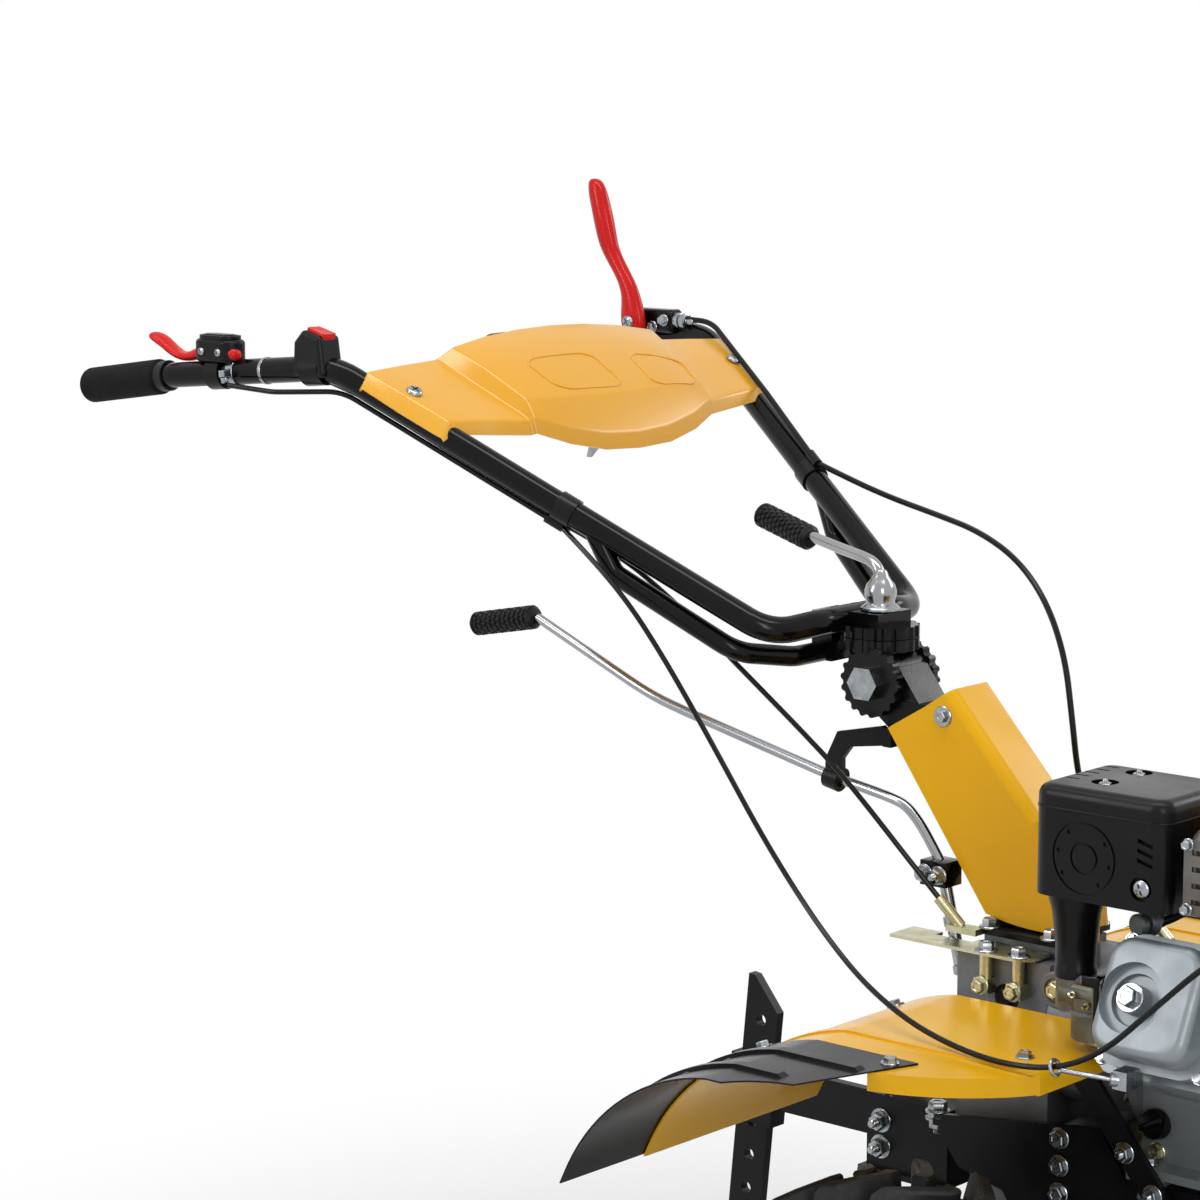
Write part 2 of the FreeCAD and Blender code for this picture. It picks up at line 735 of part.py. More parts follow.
def make_carburettor():
    """Carburettor body with its float bowl, and the elbow that carries the air cleaner."""
    face = CYLINDER_X - HEAD_HALF
    x = face - 44
    barrel = rod((x - 8, PORT_Y, PORT_Z), (face, PORT_Y, PORT_Z), 18)
    bowl = rod((x + 18, PORT_Y, PORT_Z - 38), (x + 18, PORT_Y, PORT_Z), 20)
    neck = rod((x - 2, PORT_Y, PORT_Z - 14), (x - 2, PORT_Y, float(dim.cleaner_bottom)), 17)
    flange = block(face - 9, face, PORT_Y - 30, PORT_Y + 30, PORT_Z - 24, PORT_Z + 24)
    flange = rounded(flange, 6, lambda e: along(e, X_AXIS))
    shape_part("carburettor", fused([barrel, bowl, neck, flange]))


def make_tank():
    """Pressed steel fuel tank with soft edges, its seam flange and filler neck."""
    body = new_body("Tank")
    rear, length = dim.tank_rear, dim.tank_length
    sketch = sketch_on(body, "XY_Plane", lift=dim.tank_top - dim.tank_depth)
    left, right = dim.tank_half_width + 38, 38 - dim.tank_half_width
    outline(sketch, [(rear, right), (rear + length, right), (rear + length, left), (rear, left)])
    box = pad(body, sketch, dim.tank_depth)
    upright = round_edges(body, box, size(38), lambda e: along(e, Z_AXIS))
    round_edges(body, upright, size(20), lambda e: e.BoundBox.ZLength < 0.01)
    sketch = sketch_on(body, "XY_Plane", lift=dim.tank_top - dim.tank_depth / 2 - 2)
    outline(sketch, [(rear - 8, right - 3, size(900)), (rear + length + 8, right - 3),
                     (rear + length + 8, left + 8, size(900)), (rear - 8, left + 8)])
    pad(body, sketch, size(4))
    sketch = sketch_on(body, "XY_Plane", lift=dim.tank_top - 2)
    circle(sketch, rear + length / 2, size(60), size(24))
    pad(body, sketch, size(8))
    wall = dim.tank_wall
    sketch = sketch_on(body, "XZ_Plane", lift=size(-38))
    middle = rear + dim.tank_length / 2
    reach, floor = dim.tank_length / 2 - wall, dim.tank_top - dim.tank_depth + wall
    outline(sketch, [(middle - reach + 18, floor), (middle + reach - 18, floor), (middle + reach, floor + 18),
                     (middle + reach, dim.tank_top - wall - 18), (middle + reach - 18, dim.tank_top - wall),
                     (middle - reach + 18, dim.tank_top - wall), (middle - reach, dim.tank_top - wall - 18),
                     (middle - reach, floor + 18)])
    pocket(body, sketch, (dim.tank_half_width - 24) * 2, symmetric=True)
    finish(body, "fuel_tank")


def make_tank_cap():
    body = new_body("TankCap")
    sketch = sketch_on(body, "XY_Plane", lift=dim.tank_top + 6)
    circle(sketch, dim.tank_rear + dim.tank_length / 2, size(60), size(30))
    cap = pad(body, sketch, size(14))
    round_edges(body, cap, size(3), lambda e: e.BoundBox.ZMin > float(dim.tank_top) + 19)
    finish(body, "fuel_cap")


def make_fan_housing():
    """Sheet metal blower housing: a round scroll about the crank that runs out over the cylinder."""
    body = new_body("FanHousing")
    front = dim.engine_face + dim.engine_length
    sketch = sketch_on(body, "YZ_Plane", lift=front)
    radius, crank = dim.fan_radius, dim.crank_height
    outline(sketch, [
        (-radius * 0.5, crank - radius * 0.866, radius), (radius, crank, radius),
        (size(0), crank + radius), (-radius - 42, crank + radius * 0.92),
        (-radius - 42, crank + radius * 0.2),
    ])
    drum = pad(body, sketch, dim.fan_depth)
    round_edges(body, drum, size(9), lambda e: e.BoundBox.XMin > float(front + dim.fan_depth) - 0.01)
    sketch = sketch_on(body, "YZ_Plane", lift=front)
    inside = radius - 3
    outline(sketch, [
        (-inside * 0.5, crank - inside * 0.866, inside), (inside, crank, inside),
        (size(0), crank + inside), (-radius - 39, crank + inside * 0.92),
        (-radius - 39, crank + radius * 0.2 + 3),
    ])
    pocket(body, sketch, dim.fan_depth - 5, backwards=True)
    finish(body, "fan_housing")


def make_recoil():
    """Recoil starter cover: stepped drum with air slots, and its pull grip beside it."""
    body = new_body("Recoil")
    start = dim.engine_face + dim.engine_length + dim.fan_depth
    deep = dim.recoil_depth
    sketch = sketch_on(body, "XZ_Plane")
    outline(sketch, [
        (start, size(0)), (start + deep, size(0)), (start + deep, size(38), size(-30)),
        (start + deep - 14, size(64), size(-40)), (start + deep - 22, size(84)),
        (start, size(88)),
    ])
    revolve(body, sketch, "H_Axis")
    sketch = sketch_on(body, "YZ_Plane", lift=start + deep - 26)
    outline(sketch, [(size(-4), size(46)), (size(4), size(46)), (size(5), size(78)), (size(-5), size(78))])
    slot = pocket(body, sketch, size(40), backwards=True)
    around(body, slot, 12, "X_Axis")
    sketch = sketch_on(body, "XZ_Plane")
    outline(sketch, [(start - 1, size(0)), (start + deep - 5, size(0)), (start + deep - 5, size(34)),
                     (start + deep - 26, size(80)), (start - 1, size(84))])
    revolve(body, sketch, "H_Axis", groove=True)
    finish(body, "recoil_starter", dim.crank_height)
    y, z = 46.0, float(dim.crank_height) + 104
    x = float(start) + 12
    grip = rounded(block(x, x + 14, y - 32, y + 32, z, z + 26), 6, lambda e: True)
    shape_part("recoil_grip", fused([grip, rod((x + 7, y, z - 16), (x + 7, y, z + 1), 4)]))


def make_muffler():
    """Muffler drum over the head, with its exhaust pipe and outlet."""
    base = float(dim.crank_height) + 168
    x = float(dim.cleaner_rear + dim.cleaner_length) + 16
    can = rounded(block(x, x + 100, -200, -108, base, base + 80), 16, lambda e: True)
    hollow = rounded(block(x + 2, x + 98, -198, -110, base + 2, base + 78), 14, lambda e: True)
    face = CYLINDER_X + HEAD_HALF
    pipe = rod((face + 12, PORT_Y - 10, PORT_Z - 8), (face + 12, PORT_Y - 10, base + 2), 11)
    flange = block(face, face + 9, PORT_Y - 22, PORT_Y + 30, PORT_Z - 26, PORT_Z + 22)
    outlet = rod((x + 96, -140, base + 46), (x + 122, -140, base + 46), 10)
    bore = rod((x + 90, -140, base + 46), (x + 123, -140, base + 46), 8)
    shape_part("muffler", fused([can, pipe, flange]).cut(hollow).fuse(outlet).cut(bore))


# ---------------------------------------------------------------- chassis

def make_side_plates():
    """Two steel plates bolted on the gearbox flanks; they carry the hitch and the engine rails."""
    for hand, side in (("left", 1), ("right", -1)):
        body = new_body("SidePlate_" + hand)
        inner = dim.plate_face if side < 0 else -dim.plate_face - dim.side_plate_thick
        sketch = sketch_on(body, "XZ_Plane", lift=inner)
        rear = -dim.side_plate_rear
        top = dim.flank_bolt_first + 17
        outline(sketch, [
            (rear + 21, size(392)), (size(-60), size(380)), (size(-24), size(322)), (size(30), size(322)),
            (size(44), size(384)), (size(128), size(384)), (size(128), size(418)), (size(72), size(418)),
            (size(44), top), (rear, top - 22), (rear, size(420)),
        ])
        plate = pad(body, sketch, dim.side_plate_thick)
        round_edges(body, plate, size(6), lambda e: along(e, Y_AXIS))
        sketch = sketch_on(body, "XZ_Plane")
        for k in range(5):
            circle(sketch, 2, dim.flank_bolt_first - dim.flank_bolt_pitch * k, dim.flank_bolt_radius)
        pocket(body, sketch)
        finish(body, "side_plate_" + hand)


def make_rails():
    """Angle rails under the engine feet, joined in front by a flat cross bar."""
    outer = dim.rail_half_gap + dim.rail_sheet
    base, tall = dim.engine_base, dim.rail_height
    angles = []
    for side in (1, -1):
        body = new_body("Rail_%s" % ("left" if side > 0 else "right"))
        sketch = sketch_on(body, "YZ_Plane", lift=dim.engine_face)
        outline(sketch, [
            (outer * side, base - tall), (outer * side, base), ((outer - 40) * side, base),
            ((outer - 40) * side, base - dim.rail_sheet), (dim.rail_half_gap * side, base - dim.rail_sheet),
            (dim.rail_half_gap * side, base - tall),
        ])
        pad(body, sketch, dim.rail_front - dim.engine_face)
        angles.append(finish(body, "engine_rail_" + ("left" if side > 0 else "right")))
    bar = block(dim.rail_front - 36, dim.rail_front - 4, -float(dim.rail_half_gap),
                float(dim.rail_half_gap), float(base) - 9, float(base) - 4)
    gathered("engine_rails", ["engine_rail_left", "engine_rail_right"])
    return bar


def make_bumper(cross_bar):
    """Bent tube guard ahead of the engine, welded to a flat bar across the rails."""
    front = float(dim.bumper_reach - dim.bumper_tube_radius)
    y, low = float(dim.rail_half_gap) - 16, float(dim.engine_base - dim.rail_height / 2) - 2
    start = float(dim.rail_front) - 60
    points = [(start, y, low), (front - 30, y, low), (front, y, 600), (front, -y, 600),
              (front - 30, -y, low), (start, -y, low)]
    guard = tube(points, [50, 45, 45, 50], dim.bumper_tube_radius, 2)
    shape_part("front_bumper", guard.fuse(cross_bar))


def make_hitch():
    """Welded hitch: a channel open to the rear for implement shanks, with ears to the side plates."""
    rear, front, half = dim.hitch_rear, dim.hitch_front, dim.hitch_half_width
    wall, top, low = dim.hitch_sheet, dim.hitch_top, dim.hitch_bottom
    body = new_body("Hitch")
    sketch = sketch_on(body, "XY_Plane", lift=low)
    outline(sketch, [
        (-rear, half - wall), (-front - wall, half - wall), (-front - wall, wall - half),
        (-rear, wall - half),
        (-rear, -half), (-front, -half), (-front, half), (-rear, half),
    ])
    pad(body, sketch, top - low)
    sketch = sketch_on(body, "XY_Plane", lift=low - wall)
    outline(sketch, [(-rear - 6, -half - 6), (-front, -half - 6), (-front, half + 6), (-rear - 6, half + 6)])
    pad(body, sketch, wall)
    sketch = sketch_on(body, "XY_Plane", lift=top)
    cheek, lug = dim.plate_face, dim.plate_face - 14
    near_case = -dim.gearbox_rear - 7
    ear = -dim.side_plate_rear + 12
    outline(sketch, [(-rear + 30, -half), (-front - 4, -half - 8), (near_case, -cheek), (ear, -cheek),
                     (ear, -lug), (near_case, -lug), (near_case, lug), (ear, lug), (ear, cheek),
                     (near_case, cheek), (-front - 4, half + 8), (-rear + 30, half)])
    pad(body, sketch, wall)
    sketch = sketch_on(body, "XY_Plane")
    circle(sketch, -rear + 34, 0, dim.hitch_pin_radius)
    pocket(body, sketch)
    finish(body, "hitch_bracket")


def lean(shape):
    """Lean a shape that stands upright on its foot backwards at the stake's angle."""
    turned = shape.copy()
    turned.rotate(Vector(-float(dim.stake_foot), 0, 0), Y_AXIS, float(dim.stake_lean))
    return turned


STAKE_MIDDLE_Y = -8.0
STAKE_TOP_HOLE = float(dim.stake_length) - 44
STAKE_PIN_HEIGHT = STAKE_TOP_HOLE - 2 * float(dim.stake_hole_pitch)


def make_stake():
    """Drag stake: drilled flat bar, chamfered at the top and cut level at its foot."""
    wide, thick = float(dim.stake_width), float(dim.stake_thick)
    x, y = -float(dim.stake_foot), STAKE_MIDDLE_Y
    bar = block(x - wide / 2, x + wide / 2, y - thick / 2, y + thick / 2, -20, dim.stake_length)
    top = float(dim.stake_length)
    peak, edge, face = x - wide / 2 + 8, x + wide / 2 + 1, y - 20
    chamfer = [Vector(peak, face, top), Vector(edge, face, top - 33), Vector(edge, face, top + 1),
               Vector(peak, face, top + 1)]
    corner = Part.makePolygon(chamfer + chamfer[:1])
    bar = bar.cut(Part.Face(corner).extrude(Vector(0, 40, 0)))
    count = int((top - 60) / SIZES["stake_hole_pitch"])
    for k in range(count):
        z = STAKE_TOP_HOLE - k * float(dim.stake_hole_pitch)
        bar = bar.cut(rod((x, y - thick, z), (x, y + thick, z), dim.stake_hole_radius))
    bar = lean(bar).cut(block(x - 200, x + 200, -100, 100, -100, 0))
    shape_part("drag_stake", bar)


def make_stake_holder():
    """Flat arm from the hitch to a drilled clevis round the stake, with its cross pin."""
    x, y = -float(dim.stake_foot), STAKE_MIDDLE_Y
    wide, thick = float(dim.stake_width), float(dim.stake_thick)
    gap = 0.5
    z0, z1 = 372, 424
    half = thick / 2 + gap
    sleeve = block(x - wide / 2 - 8, x + wide / 2 + 8, y - half - 6, y + half + 6, z0 - 14, z1)
    slot = block(x - wide / 2 - gap, x + wide / 2 + gap, y - half, y + half, z0 - 40, z1 + 40)
    sleeve = lean(sleeve.cut(slot))
    rear = x + wide / 2 - 40 + float(dim.stake_lean)
    arm = block(rear + 30, -float(dim.hitch_front + dim.hitch_sheet), y - 5, y + 5, z0, z1 - 8)
    arm = arm.cut(lean(block(x - wide, x + wide / 2 + 4, y - 40, y + 40, 0, 600)))
    plug = lean(rod((x, y - half - 12, STAKE_PIN_HEIGHT), (x, y + half + 12, STAKE_PIN_HEIGHT), 5.5))
    shape_part("stake_holder", fused([arm, sleeve]).cut(plug))
    shape_part("stake_pin", fused([
        lean(rod((x, y - half - 10, STAKE_PIN_HEIGHT), (x, y + half + 14, STAKE_PIN_HEIGHT), 5.45)),
        lean(rod((x, y - half - 15, STAKE_PIN_HEIGHT), (x, y - half - 6.2, STAKE_PIN_HEIGHT), 9)),
    ]))


# ---------------------------------------------------------------- fenders

def fender_profile(raised):
    """Side profile of a fender sheet: turned-down front rim, long top and drooping rear flap."""
    top, front, rear = dim.fender_top + raised, dim.fender_front, -dim.fender_rear
    thick = dim.fender_sheet
    return [
        (front + raised, top - 18), (front + raised, top - 10, size(10)), (front - 10, top),
        (size(-112), top, size(210)), (rear - raised, top - 120), (rear - raised - 4, top - 128),
        (rear - raised - 4 + thick, top - 128 - thick * 0.2),
        (rear - raised + thick + 1, top - 119, size(-208)),
        (size(-112), top - thick), (front - 10, top - thick, size(-8.4)),
        (front + raised - thick, top - 10), (front + raised - thick, top - 18),
    ]


def rib_profile(raised, start, height):
    """Side profile of a pressed rib that stands on a fender sheet and runs back from start."""
    top, rear = dim.fender_top + raised + height, -dim.fender_rear - raised - height
    deep = height + 0.4
    return [
        (start, top - deep), (start - 6, top), (size(-112), top, size(210)), (rear, top - 120),
        (rear + deep + 0.6, top - 119.4, size(-207)), (size(-112), top - deep),
    ]


def press_rib(body, side, lateral, half_wide, profile):
    """Pad a rib across a fender sheet's own body at the given distance from the middle."""
    start = lateral - half_wide if side < 0 else -lateral - half_wide
    sketch = sketch_on(body, "XZ_Plane", lift=start)
    outline(sketch, profile)
    pad(body, sketch, half_wide * 2)


def trim_corner(body, side, corners):
    """Cut a fender sheet right through inside an outline that is drawn for the left side."""
    sketch = sketch_on(body, "XY_Plane")
    outline(sketch, [(c[0], c[1] * side) + tuple(r * side for r in c[2:]) for c in corners])
    pocket(body, sketch)


def make_fender(hand, side):
    """Inner fender sheet, painted, over the wheel, with a turned-down rim round its front corner."""
    body = new_body("Fender_" + hand)
    outer = dim.fender_joint + 44
    start = dim.fender_inner if side < 0 else -outer
    sketch = sketch_on(body, "XZ_Plane", lift=start)
    outline(sketch, fender_profile(size(0)))
    pad(body, sketch, outer - dim.fender_inner)
    front, side_x, bow = dim.fender_front + 20, size(-25), size(180)
    trim_corner(body, side, [(front, outer - 144), (front, outer + 20), (side_x, outer + 20),
                             (side_x, outer, -bow)])
    press_rib(body, side, dim.fender_joint - 48, size(6), rib_profile(size(0), size(72), 1.6))
    thick = dim.fender_sheet
    rim_end = outer - 87.5
    rim = [(side_x, outer, bow), (dim.fender_front, rim_end),
           (dim.fender_front - thick, rim_end - thick, thick - bow), (side_x, outer - thick)]
    sketch = sketch_on(body, "XY_Plane", lift=dim.fender_top - 17)
    outline(sketch, [(c[0], c[1] * side) + tuple(-r * side for r in c[2:]) for c in rim])
    pad(body, sketch, size(16))
    finish(body, "fender_" + hand)


def make_fender_extension(hand, side):
    """Outer fender sheet with pressed ribs, lapped over the inner one and bolted to it."""
    body = new_body("FenderExtension_" + hand)
    lap = dim.fender_sheet + 0.3
    outer = dim.fender_outer
    start = dim.fender_joint if side < 0 else -outer
    sketch = sketch_on(body, "XZ_Plane", lift=start)
    outline(sketch, fender_profile(lap))
    pad(body, sketch, outer - dim.fender_joint)
    trim_corner(body, side, [
        (size(0), dim.fender_joint - 10), (size(140), dim.fender_joint - 10), (size(140), outer + 10),
        (size(-110), outer + 10), (size(-95), outer, size(70)), (size(-45), outer - 35),
    ])
    for lateral, x in ((dim.fender_joint + 50, size(-25)), (dim.fender_joint + 108, size(-62))):
        press_rib(body, side, lateral, size(5), rib_profile(lap, x, 3))
    finish(body, "fender_extension_" + hand)


def make_fender_struts():
    """Flat struts from the rails and an angle bar across, which carry the fenders."""
    shapes = []
    top = float(dim.fender_top - dim.fender_sheet) - 0.3
    for side in (1, -1):
        y0, y1 = sorted((side * 98.0, side * 104.0))
        foot, head = Vector(104, y0, 404), Vector(-14, y0, top - 4)
        corners = [foot, foot + Vector(26, 0, 6), head + Vector(30, 0, 0), head, foot]
        strut = Part.Face(Part.makePolygon(corners)).extrude(Vector(0, y1 - y0, 0))
        far = side * float(dim.fender_joint + 20)
        a, b = sorted((side * 98.0, far))
        bar = block(-24, 16, a, b, top - 4, top).fuse(block(-24, -20, a, b, top - 24, top - 4))
        shapes.append(fused([strut, bar]))
    shape_part("fender_struts", Part.makeCompound(shapes))


# ---------------------------------------------------------------- column and steering joint

def bent_channel(name, corners, half, bend, rear):
    """A side outline padded to both sides; its long edges in front of rear are bent round."""
    body = new_body(name)
    sketch = sketch_on(body, "XZ_Plane")
    outline(sketch, corners)
    solid = pad(body, sketch, half * 2, symmetric=True)

    def long_front_edge(edge):
        box = edge.BoundBox
        at_side = abs(abs(box.YMin) - float(half)) < 0.01 and box.YLength < 0.01
        return at_side and box.XMin > rear and box.ZMax > 640

    round_edges(body, solid, bend, long_front_edge)
    return body


def make_column_cover():
    """Pressed cover over the column: a U channel, open to the rear, that widens and curves at its foot."""
    sheet_thick, bend = size(2), size(9)
    half = dim.column_half_width
    outside = bent_channel("ColumnCover", [
        (size(-240), size(781)), (size(-124), size(620), size(260)), (size(-27), size(615)),
        (size(-31), size(650), size(-420)), (size(-68), size(716)), (size(-168), size(826)),
        (size(-198), size(806)),
    ], half, bend + sheet_thick, -169)
    inside = bent_channel("ColumnCoverHollow", [
        (size(-280), size(781)), (size(-140), size(590)), (size(-27), size(590)),
        (size(-33.5), size(650), size(-420)), (size(-70.5), size(714)), (size(-193.5), size(849)),
        (size(-280), size(849)),
    ], half - sheet_thick, bend, -194)
    shell = doc.addObject("Part::Cut", "ColumnCoverShell")
    shell.Base, shell.Tool = outside, inside
    finish(shell, "column_cover")


def make_column_post():
    """Welded steering column under the cover, with its bolted foot on the gearbox."""
    body = new_body("ColumnPost")
    foot = dim.gearbox_top + 14
    sketch = sketch_on(body, "XZ_Plane")
    outline(sketch, [
        (size(-116), foot), (size(-44), foot), (size(-72), size(700)), (size(-176), size(806)),
        (size(-246), size(806)), (size(-246), size(774)), (size(-226), size(760)),
    ])
    pad(body, sketch, (dim.column_half_width - 9) * 2, symmetric=True)
    sketch = sketch_on(body, "XZ_Plane")
    outline(sketch, [(size(-108), foot + 6), (size(-50), foot + 6), (size(-76), size(696)),
                     (size(-179), size(801)), (size(-222), size(766))])
    pocket(body, sketch, (dim.column_half_width - 13) * 2, symmetric=True)
    sketch = sketch_on(body, "XY_Plane", lift=foot)
    outline(sketch, [(size(-122), size(-46)), (size(-38), size(-46)), (size(-38), size(46)),
                     (size(-122), size(46))])
    pad(body, sketch, size(6))
    finish(body, "column_post")


def toothed_disc(centre, radius, depth, teeth, axis, thick):
    """A disc with square teeth round its rim, starting at centre and running along the axis."""
    points = []
    for k in range(teeth * 4):
        angle = 2 * math.pi * (k + 0.5) / (teeth * 4)
        reach = radius if k % 4 in (0, 1) else radius - depth
        points.append(Vector(reach * math.cos(angle), reach * math.sin(angle), 0))
    points.append(points[0])
    disc = Part.Face(Part.makePolygon(points)).extrude(Vector(0, 0, thick))
    disc.Placement = Placement(Vector(*centre), Rotation(Z_AXIS, axis))
    return disc


TILT_X, TILT_Z = -262.0, 822.0
SWIVEL_X = -float(dim.swivel_back)
SWIVEL_Z = float(dim.swivel_height)
SWIVEL_STUD = 8.0


def make_joint():
    """Steering joint: a neck on the column, toothed tilt wheels and the swivel disc with its stud."""
    neck = Part.Face(Part.makePolygon([
        Vector(-246, -22, 778), Vector(-212, -22, 806), Vector(-236, -22, 838), Vector(-286, -22, 838),
        Vector(-290, -22, 812), Vector(-246, -22, 778)])).extrude(Vector(0, 44, 0))
    drum = rod((TILT_X, -24, TILT_Z), (TILT_X, 24, TILT_Z), 29)
    stem = rounded(block(SWIVEL_X - 24, SWIVEL_X + 24, -22, 22, 830, SWIVEL_Z - 11), 9,
                   lambda e: along(e, Z_AXIS))
    disc = toothed_disc((SWIVEL_X, 0, SWIVEL_Z - 12), 38, 3, 18, Z_AXIS, 11.5)
    stud = rod((SWIVEL_X, 0, SWIVEL_Z - 5), (SWIVEL_X, 0, SWIVEL_Z + 36), SWIVEL_STUD)
    bolt_hole = rod((TILT_X, -50, TILT_Z), (TILT_X, 50, TILT_Z), 8)
    post = unshifted("column_post")
    wheels = [toothed_disc((TILT_X, start, TILT_Z), 34, 3, 18, Y_AXIS, 10.0) for start in (24.0, -34.0)]
    shape_part("joint_base", fused([neck, drum, stem, disc, stud] + wheels).cut(bolt_hole).cut(post))
    bolt = rod((TILT_X, -34, TILT_Z), (TILT_X, 44, TILT_Z), 8)
    head = hexagon_bar((TILT_X, -46, TILT_Z), 30, 12)
    nut = hexagon_bar((TILT_X, 34, TILT_Z), 24, 10)
    shape_part("tilt_bolt", fused([bolt, head, nut]))


def hexagon_bar(centre, flats, length):
    """A hexagonal bar that starts at centre and runs along +Y."""
    reach = flats / math.sqrt(3)
    points = [Vector(reach * math.cos(a), 0, reach * math.sin(a)) + Vector(*centre)
              for a in [math.pi * k / 3 for k in range(7)]]
    return Part.Face(Part.makePolygon(points)).extrude(Vector(0, length, 0))


# ---------------------------------------------------------------- gear lever

def make_gear_lever():
    """Bent rod that selects the gears, its clamp, guide bracket, grip and gate plate."""
    y = -30.0
    upper = [(-700, -20, 836), (-540, -22, 772), (-304, y, 724), (-226, y, 712), (-199, y, 690),
             (-170, y - 3, 655)]
    shape_part("gear_lever", swept(bent_path(upper, [60, 120, 40, 30]), 5))
    grip = rod((-790, -20, 820), (-702, -20, 837), 12.5)
    grip = rounded(grip, 4, lambda e: True)
    lever = unshifted("gear_lever")
    shape_part("gear_lever_grip", grip.cut(lever))
    clamp = rounded(block(-190, -160, y - 17, y + 9, 640, 664), 2, lambda e: True).cut(lever)
    lower = rod((-168, y - 6, 640), (-146, y - 8, 560), 5.5)
    shape_part("gear_clamp", clamp.fuse(lower).cut(lever))
    hook = [Vector(-238, y - 3, 764), Vector(-246, y - 3, 782), Vector(-300, y - 3, 770),
            Vector(-314, y - 3, 742), Vector(-314, y - 3, 716), Vector(-294, y - 3, 716),
            Vector(-294, y - 3, 744), Vector(-284, y - 3, 757), Vector(-238, y - 3, 764)]
    bracket = Part.Face(Part.makePolygon(hook)).extrude(Vector(0, 6, 0))
    eye = rod((-312, y, 725.6), (-296, y, 722.4), 12)
    foot = block(-246, -236, y - 3, -20, 762, 780)
    guide = fused([bracket, eye, foot]).cut(lever)
    shape_part("lever_guide", guide.cut(unshifted("column_post")).cut(unshifted("column_cover")))


def make_gate_plate():
    """Slotted gate plate for the gear lever, on two pillars of the gearbox."""
    body = new_body("GatePlate")
    sketch = sketch_on(body, "XY_Plane", lift=dim.gearbox_top + 2)
    outline(sketch, [(size(-204), size(-74)), (size(-60), size(-74)), (size(-48), size(-62)),
                     (size(-48), size(-36)), (size(-204), size(-36))])
    pad(body, sketch, size(3))
    sketch = sketch_on(body, "XY_Plane")
    outline(sketch, [(size(-170), size(-48)), (size(-128), size(-48)), (size(-128), size(-28)),
                     (size(-170), size(-28))])
    pocket(body, sketch)
    finish(body, "gate_plate")
    under = float(dim.gearbox_top) + 2
    shapes = []
    for x, y in ((-100, -65), (-64, -65)):
        lug = block(x - 8, x + 8, y - 8, -56, under - 36, under - 22)
        shapes.append(rod((x, y, under - 24), (x, y, under), 6).fuse(lug))
    case = unshifted("gearbox_case")
    shape_part("gate_pillars", Part.makeCompound([s.cut(case) for s in shapes]))


def make_filler_plug():
    """Oil filler neck on the clutch side of the gearbox, with its bright cap."""
    x, y = -6.0, -38.0
    base = float(dim.crank_height) + 56
    neck = rod((x, y, base - 14), (x, y, base + 30), 11)
    shape_part("filler_neck", neck.cut(unshifted("clutch_housing")))
    shape_part("filler_cap", rounded(rod((x, y, base + 30), (x, y, base + 52), 9.5), 2, lambda e: True))


# ---------------------------------------------------------------- handlebar

LOW = Vector(-320, -112, 872)
HIGH = Vector(-float(dim.handle_high_back), -float(dim.handle_high_half), float(dim.handle_high_height))
WRIST = Vector(-938, -float(dim.grip_half), 1092)
END = Vector(-float(dim.grip_reach) + 2.5, -float(dim.grip_half), float(dim.grip_height))
ARM = (LOW - HIGH).normalize()
DOWN = (Vector(0, 0, -1) - ARM * Vector(0, 0, -1).dot(ARM)).normalize()
INWARD = ARM.cross(DOWN)


def flip(point):
    """The same place on the left side."""
    return Vector(point.x, -point.y, point.z)


def on_arm(back, down=0.0, inward=0.0):
    """A place beside the right arm's centre line, at the given distance behind the axle."""
    share = (-back - HIGH.x) / (LOW.x - HIGH.x)
    return HIGH + (LOW - HIGH) * share + DOWN * down + INWARD * inward


def handlebar_points():
    right = [END, WRIST, HIGH, LOW, Vector(-303, -60, 878)]
    return right + [flip(p) for p in reversed(right)]


def make_handlebar():
    """Bent steel tube handlebar, and the smaller brace tube under its front."""
    radius, wall = dim.handle_tube_radius, dim.handle_tube_wall
    bar = tube(handlebar_points(), [80, 70, 45, 60, 60, 45, 70, 80], radius, wall)
    shape_part("handlebar_tube", bar)
    outside = swept(bent_path(handlebar_points(), [80, 70, 45, 60, 60, 45, 70, 80]), radius)
    start = on_arm(480, 4)
    right = [start, Vector(-462, -172, 922), Vector(-352, -122, 852), Vector(-330, -62, 843)]
    points = right + [flip(p) for p in reversed(right)]
    brace = tube(points, [22, 40, 40, 40, 40, 22], 10, 2).cut(outside)
    return outside, max(brace.Solids, key=lambda s: s.Volume)


def make_bracket(bar, brace_tube):
    """Head bracket that turns on the swivel stud, with the brace tube welded to it."""
    disc = toothed_disc((SWIVEL_X, 0, SWIVEL_Z + 0.5), 38, 3, 18, Z_AXIS, 11)
    saddle = block(-324, -258, -26, 26, SWIVEL_Z + 8, SWIVEL_Z + 24)
    gusset = block(-342, -318, -20, 20, 834, SWIVEL_Z + 20)
    bore = rod((SWIVEL_X, 0, 800), (SWIVEL_X, 0, 950), SWIVEL_STUD + float(dim.fit_gap))
    brace = rod((-330, -70, 843), (-330, 70, 843), 10)
    head = fused([disc, saddle, gusset]).cut(bore).cut(bar).cut(brace)
    shape_part("handlebar_bracket", head.fuse(brace_tube))


def make_grips(bar):
    """Foam grips pushed over the tube ends."""
    grips = []
    aim = (END - WRIST).normalize()
    for turn in (lambda p: p, flip):
        start, stop = turn(END - aim * 0), turn(END - aim * float(dim.grip_length))
        grip = rod(tuple(turn(END + aim * 3)), tuple(stop), dim.grip_radius)
        grip = rounded(grip, 5, lambda e: True)
        grips.append(grip.cut(rod(tuple(start), tuple(stop - (start - stop) * 0.1), dim.handle_tube_radius)))
    shape_part("handle_grips", Part.makeCompound(grips))


